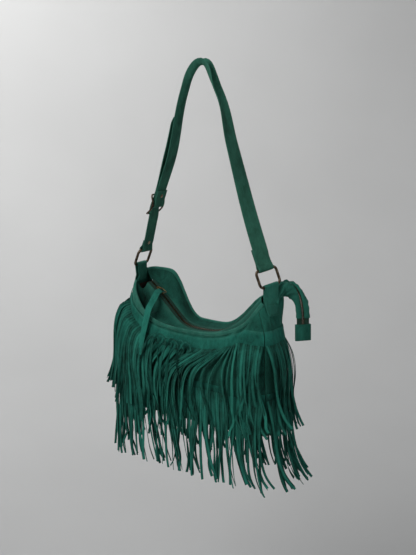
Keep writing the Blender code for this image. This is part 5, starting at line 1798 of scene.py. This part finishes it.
class BAG_OT_walls(bpy.types.Operator):
    """Make the four suede walls, the base and the lining"""
    bl_idname = "fringed_bag.walls"
    bl_label = "Walls and lining"

    def execute(self, context):
        colours = context.scene.bag_colours
        for side, node in zip(SIDES, ("front_panel", "gusset_right", "back_panel", "gusset_left")):
            columns = 110 if side in ("front", "back") else 50
            wall = placed(wall_panel(side, suede("suede_wall", colours), columns, 80), BAG,
                          "green_suede", node)
            cloth(wall, "hung", "ring_left", "ring_right")
        cloth(placed(base_sheet(suede("suede_body", colours)), BAG, "green_suede", "base_panel"),
              "hung", "wall_front")
        cloth(placed(lining_sheet(weave("lining_weave", colours)), BAG, "brown_lining", "lining"),
              "hung", "wall_front")
        return {"FINISHED"}


class BAG_OT_rims(bpy.types.Operator):
    """Make the rolled rims and the facings inside them"""
    bl_idname = "fringed_bag.rims"
    bl_label = "Rims and facings"

    def execute(self, context):
        colours = context.scene.bag_colours
        for side in ("front", "back"):
            placed(rolled_rim(side, suede("suede_body", colours)), BAG, "green_suede",
                   "rolled_edge_" + side)
            inside = suede("suede_inside", colours)
            cloth(placed(facing(side, inside), BAG, "green_suede", "zip_panel_" + side), "hung",
                  "rolled_rim_" + side)
        return {"FINISHED"}


class BAG_OT_zip(bpy.types.Operator):
    """Make the zip's tape, teeth, slider, puller, pull and tail"""
    bl_idname = "fringed_bag.zip"
    bl_label = "Zip"

    def execute(self, context):
        colours = context.scene.bag_colours
        brass = metal("zip_brass_plate", colours)
        plate = metal("slider_brass_plate", colours)
        for side in ("front", "back"):
            tape = placed(zip_tape(side, weave("zip_tape_weave", colours)), BAG, "zip_tape",
                          "zip_tape_" + side)
            cloth(tape, "stretched", "zip_teeth_" + side)
            placed(merged("zip_metal_teeth_" + side, zip_teeth(side), brass, 30), BAG, "zip_brass",
                   "zip_teeth_" + side)
        placed(merged("zip_slider_body", slider_parts(), plate, 35), SLIDER, "zip_brass",
               "zip_slider")
        placed(merged("zip_puller_loop", puller_parts(), plate), PULLER, "zip_brass", "zip_puller")
        for piece in tail_puff(suede("suede_body", colours)):
            cloth(placed(piece, BAG, "green_suede"), "gathered", "zip_teeth_front")
        tab, stitches = end_tab_mesh(suede("suede_body", colours))
        placed(tab, BAG, "green_suede", "zip_end_tab")
        sewn = placed(merged("stitches_tail_tab", stitches, weave("thread_twist", colours)), BAG,
                      "green_suede")
        cloth(tab, "folded", "zip_teeth_front", with_pieces=[sewn])
        self.pull(suede("suede_pull", colours))
        return {"FINISHED"}

    def pull(self, paint):
        route, wide, loop = pull_route()
        share = np.linspace(0, 1, len(route))
        widths = PULL_WIDTH * (1.02 + 0.16 * smooth(0.3, 0.5, share) + 0.05 * np.sin(share * 21))
        top = strap_mesh("zip_pull_fold", route[:loop + 3], wide[:loop + 3], widths[:loop + 3],
                         PULL_THICKNESS, paint,
                         columns=5, rub_edge=0.08)
        strip = strap_mesh("zip_pull_strip", route[loop + 2:], wide[loop + 2:], widths[loop + 2:],
                           PULL_THICKNESS,
                           paint, columns=5, rub_edge=0.08)
        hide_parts("zip_pull")
        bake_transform(top)
        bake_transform(strip)
        cloth(top, "folded", "zip_puller")
        cloth(strip, "hung", top.name)


class BAG_OT_straps(bpy.types.Operator):
    """Make the long strap, the billet strap and the ring tabs"""
    bl_idname = "fringed_bag.straps"
    bl_label = "Straps and tabs"

    def execute(self, context):
        colours = context.scene.bag_colours
        paint = suede("suede_strap", colours)
        route, wide, fold = strap_route()
        strap = strap_mesh("long_strap", route, wide, STRAP_WIDTH, STRAP_THICKNESS, paint, fold, 11)
        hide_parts("shoulder_strap")
        cloth(strap, "hung", "ring_right", "buckle_frame")
        right = ring_frame("right")
        tuple(right.at(RING_BARS + STRAP_BEND[0]))
        tuple(right.at(RING_BARS + STRAP_BEND[1]))
        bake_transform(strap)
        route, wide = billet_route()
        billet = strap_mesh("billet", route, wide, STRAP_WIDTH, STRAP_THICKNESS, paint, None, 11)
        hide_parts("billet_strap")
        cloth(billet, "folded", "ring_left", "buckle_frame")
        self.near_ring()
        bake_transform(billet)
        stitches = []
        for side in ("left", "right"):
            tab, parts = tab_mesh(side, suede("suede_body", colours))
            cloth(placed(tab, BAG, "green_suede", "ring_tab_" + side), "folded", "ring_" + side)
            stitches += parts
        placed(merged("stitches_ring_tabs", stitches, weave("thread_twist", colours)), BAG,
               "green_suede")
        return {"FINISHED"}

    @staticmethod
    def near_ring():
        """Where the billet stops following its ring and starts following the bag."""
        left = ring_frame("left")
        return {"start": tuple(left.at(RING_BARS + BILLET_BEND[0])),
                "end": tuple(left.at(RING_BARS + BILLET_BEND[1]))}


class BAG_OT_fittings(bpy.types.Operator):
    """Make the rings, the buckle and the rivets"""
    bl_idname = "fringed_bag.fittings"
    bl_label = "Rings and buckle"

    def execute(self, context):
        bronze = metal("antique_bronze_plate", context.scene.bag_colours)
        studs = metal("worn_bronze_rivet", context.scene.bag_colours)
        for side, body in (("left", RING_LEFT), ("right", RING_RIGHT)):
            placed(ring_mesh(side, bronze), body, "antique_bronze", "ring_" + side)
        placed(merged("buckle_body", buckle_parts(), bronze), BAG, "antique_bronze", "buckle_frame")
        placed(merged("buckle_pin", tongue_parts(), bronze), BAG, "antique_bronze", "buckle_tongue")
        buckle, ring = buckle_axes(), ring_frame("left")
        placed(merged("rivet_strap", rivet_parts(buckle.at(RIVET_UP), -buckle.out), studs), BAG,
               "antique_bronze",
               "strap_rivet")
        billet_up = RIVET_UP * BILLET_LEAD / LOOP_LEAD - 0.0002
        rivet = merged("rivet_billet", rivet_parts(ring.at(RING_BARS + billet_up), -ring.out),
                       studs)
        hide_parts("billet_rivet")
        BAG_OT_straps.near_ring()
        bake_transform(rivet)
        return {"FINISHED"}


class BAG_OT_fringe(bpy.types.Operator):
    """Make both rows of fringe and let the strips settle on the bag"""
    bl_idname = "fringed_bag.fringe"
    bl_label = "Fringe"

    def execute(self, context):
        for row in ("lower", "upper"):
            make_row(row, context.scene.bag_fringe, context.scene.bag_colours)
        return {"FINISHED"}


# Lamps: name, place, the spot it points at, the setting with its power, size
BAG_MIDDLE = (0, 0, -0.5)
LAMPS = (
    ("key", (1.4, -1.3, 1.1), BAG_MIDDLE, "key_light", 1.3),
    ("fill", (1.3, 1.7, 0.1), BAG_MIDDLE, "fill_light", 1.5),
    ("top", (-0.9, 0, 1.1), BAG_MIDDLE, "fill_light", 1.2),
    ("wall", (-2.4, -1.7, 2.6), (-4.0, -1.7, 1.1), "wall_light", 1.2),
)
FLOOR_LEVEL = -1.5
FLOOR_REACH = 1.8
BACKDROP_CURVE = 2.4
BACKDROP_TOP = 2.6


class BAG_OT_stage(bpy.types.Operator):
    """Make the floor, the lights and the camera"""
    bl_idname = "fringed_bag.stage"
    bl_label = "Stage"

    def execute(self, context):
        look = context.scene.bag_stage
        self.floor(look)
        self.camera(context)
        for name, place, target, power, size in LAMPS:
            self.lamp(name, seen(*place), seen(*target), getattr(look, power), size)
        world = bpy.data.worlds.new("studio")
        world.use_nodes = True
        background = world.node_tree.nodes["Background"]
        background.inputs["Color"].default_value = (0.92, 0.96, 1.0, 1)
        background.inputs["Strength"].default_value = look.world
        context.scene.world = world
        context.scene.view_settings.view_transform = "Standard"
        return {"FINISHED"}

    def floor(self, look):
        profile = [(0.0002, FLOOR_LEVEL), (1.2, FLOOR_LEVEL)]
        rise = FLOOR_LEVEL + BACKDROP_CURVE
        profile += [(FLOOR_REACH + BACKDROP_CURVE * math.sin(a), rise - BACKDROP_CURVE * math.cos(a))
                    for a in np.linspace(0, math.pi / 2, 16)]
        profile += [(FLOOR_REACH + BACKDROP_CURVE, BACKDROP_TOP)]
        turns = np.linspace(0, 2 * math.pi, 97)
        grid = np.array([[(r * math.cos(t), r * math.sin(t), z) for t in turns]
                         for r, z in profile])
        made = bpy.data.materials.new("backdrop_paper")
        made.use_nodes = True
        shader = made.node_tree.nodes["Principled BSDF"]
        n = Nodes(made.node_tree)
        place = n.add("ShaderNodeTexCoord").outputs["Object"]
        tint = n.ramp(n.noise(place, 1.1, 2.0), 0.3, 0.7, 0.0, 1.0)
        n.link(n.mix(tint, rgba(look.backdrop, 0.97), rgba(look.backdrop, 1.03)),
                         shader.inputs["Base Color"])
        shader.inputs["Roughness"].default_value = 0.9
        sheet = shown("backdrop", grid.reshape(-1, 3), grid_quads(*grid.shape[:2], 0, True), made,
                      60)

    def lamp(self, name, place, target, power, size):
        data = bpy.data.lights.new(name, "AREA")
        data.energy = power
        data.size = size
        data.color = (1.0, 0.99, 0.97)
        lamp = bpy.data.objects.new(name, data)
        lamp.location = place
        lamp.rotation_euler = aim(place, target)
        bpy.context.scene.collection.objects.link(lamp)

    def camera(self, context):
        data = bpy.data.cameras.new("photo_camera")
        data.sensor_fit = "VERTICAL"
        data.sensor_height = 36.0
        data.lens = PHOTO_FOCUS / PHOTO_SIZE[1] * data.sensor_height
        data.clip_end = 30
        made = bpy.data.objects.new("photo_camera", data)
        made.location = (PHOTO_DISTANCE * math.sin(PHOTO_TURN),
                         -PHOTO_DISTANCE * math.cos(PHOTO_TURN), PHOTO_HEIGHT)
        yaw = PHOTO_TURN - math.atan((PHOTO_SIZE[0] / 2 - HOOK_COLUMN) / PHOTO_FOCUS)
        made.rotation_euler = (math.pi / 2 - PHOTO_PITCH, 0, yaw)
        context.scene.collection.objects.link(made)
        context.scene.camera = made


def seen(toward, across, up):
    """A place given as metres towards the photograph's camera, to its right and up."""
    facing = np.array([math.sin(PHOTO_TURN), -math.cos(PHOTO_TURN), 0])
    right = np.array([math.cos(PHOTO_TURN), math.sin(PHOTO_TURN), 0])
    return facing * toward + right * across + [0, 0, up]


def aim(place, target):
    """Turn that points a lamp or camera at a target."""
    return Vector(np.asarray(target) - np.asarray(place)).to_track_quat("-Z", "Y").to_euler()


STEPS = (BAG_OT_walls, BAG_OT_rims, BAG_OT_zip, BAG_OT_straps, BAG_OT_fittings, BAG_OT_fringe,
         BAG_OT_stage)


class BAG_PT_panel(bpy.types.Panel):
    """The bag's operators and settings"""
    bl_label = "Fringed bag"
    bl_idname = "BAG_PT_panel"
    bl_space_type = "VIEW_3D"
    bl_region_type = "UI"
    bl_category = "Fringed bag"

    def draw(self, context):
        for step in STEPS:
            self.layout.operator(step.bl_idname)
        for group in (context.scene.bag_colours, context.scene.bag_fringe, context.scene.bag_stage):
            box = self.layout.box()
            for key in group.__annotations__:
                box.prop(group, key)


GROUPS = (("bag_colours", BagColours), ("bag_fringe", FringeSizes), ("bag_stage", StageLook))


def register():
    for name, group in GROUPS:
        bpy.utils.register_class(group)
        setattr(bpy.types.Scene, name, PointerProperty(type=group))
    for step in STEPS + (BAG_PT_panel,):
        bpy.utils.register_class(step)


def unregister():
    for step in (BAG_PT_panel,) + STEPS[::-1]:
        bpy.utils.unregister_class(step)
    for name, group in GROUPS[::-1]:
        delattr(bpy.types.Scene, name)
        bpy.utils.unregister_class(group)


def main():
    register()
    for step in STEPS:
        area, name = step.bl_idname.split(".")
        getattr(getattr(bpy.ops, area), name)()


if __name__ == "__main__":
    main()
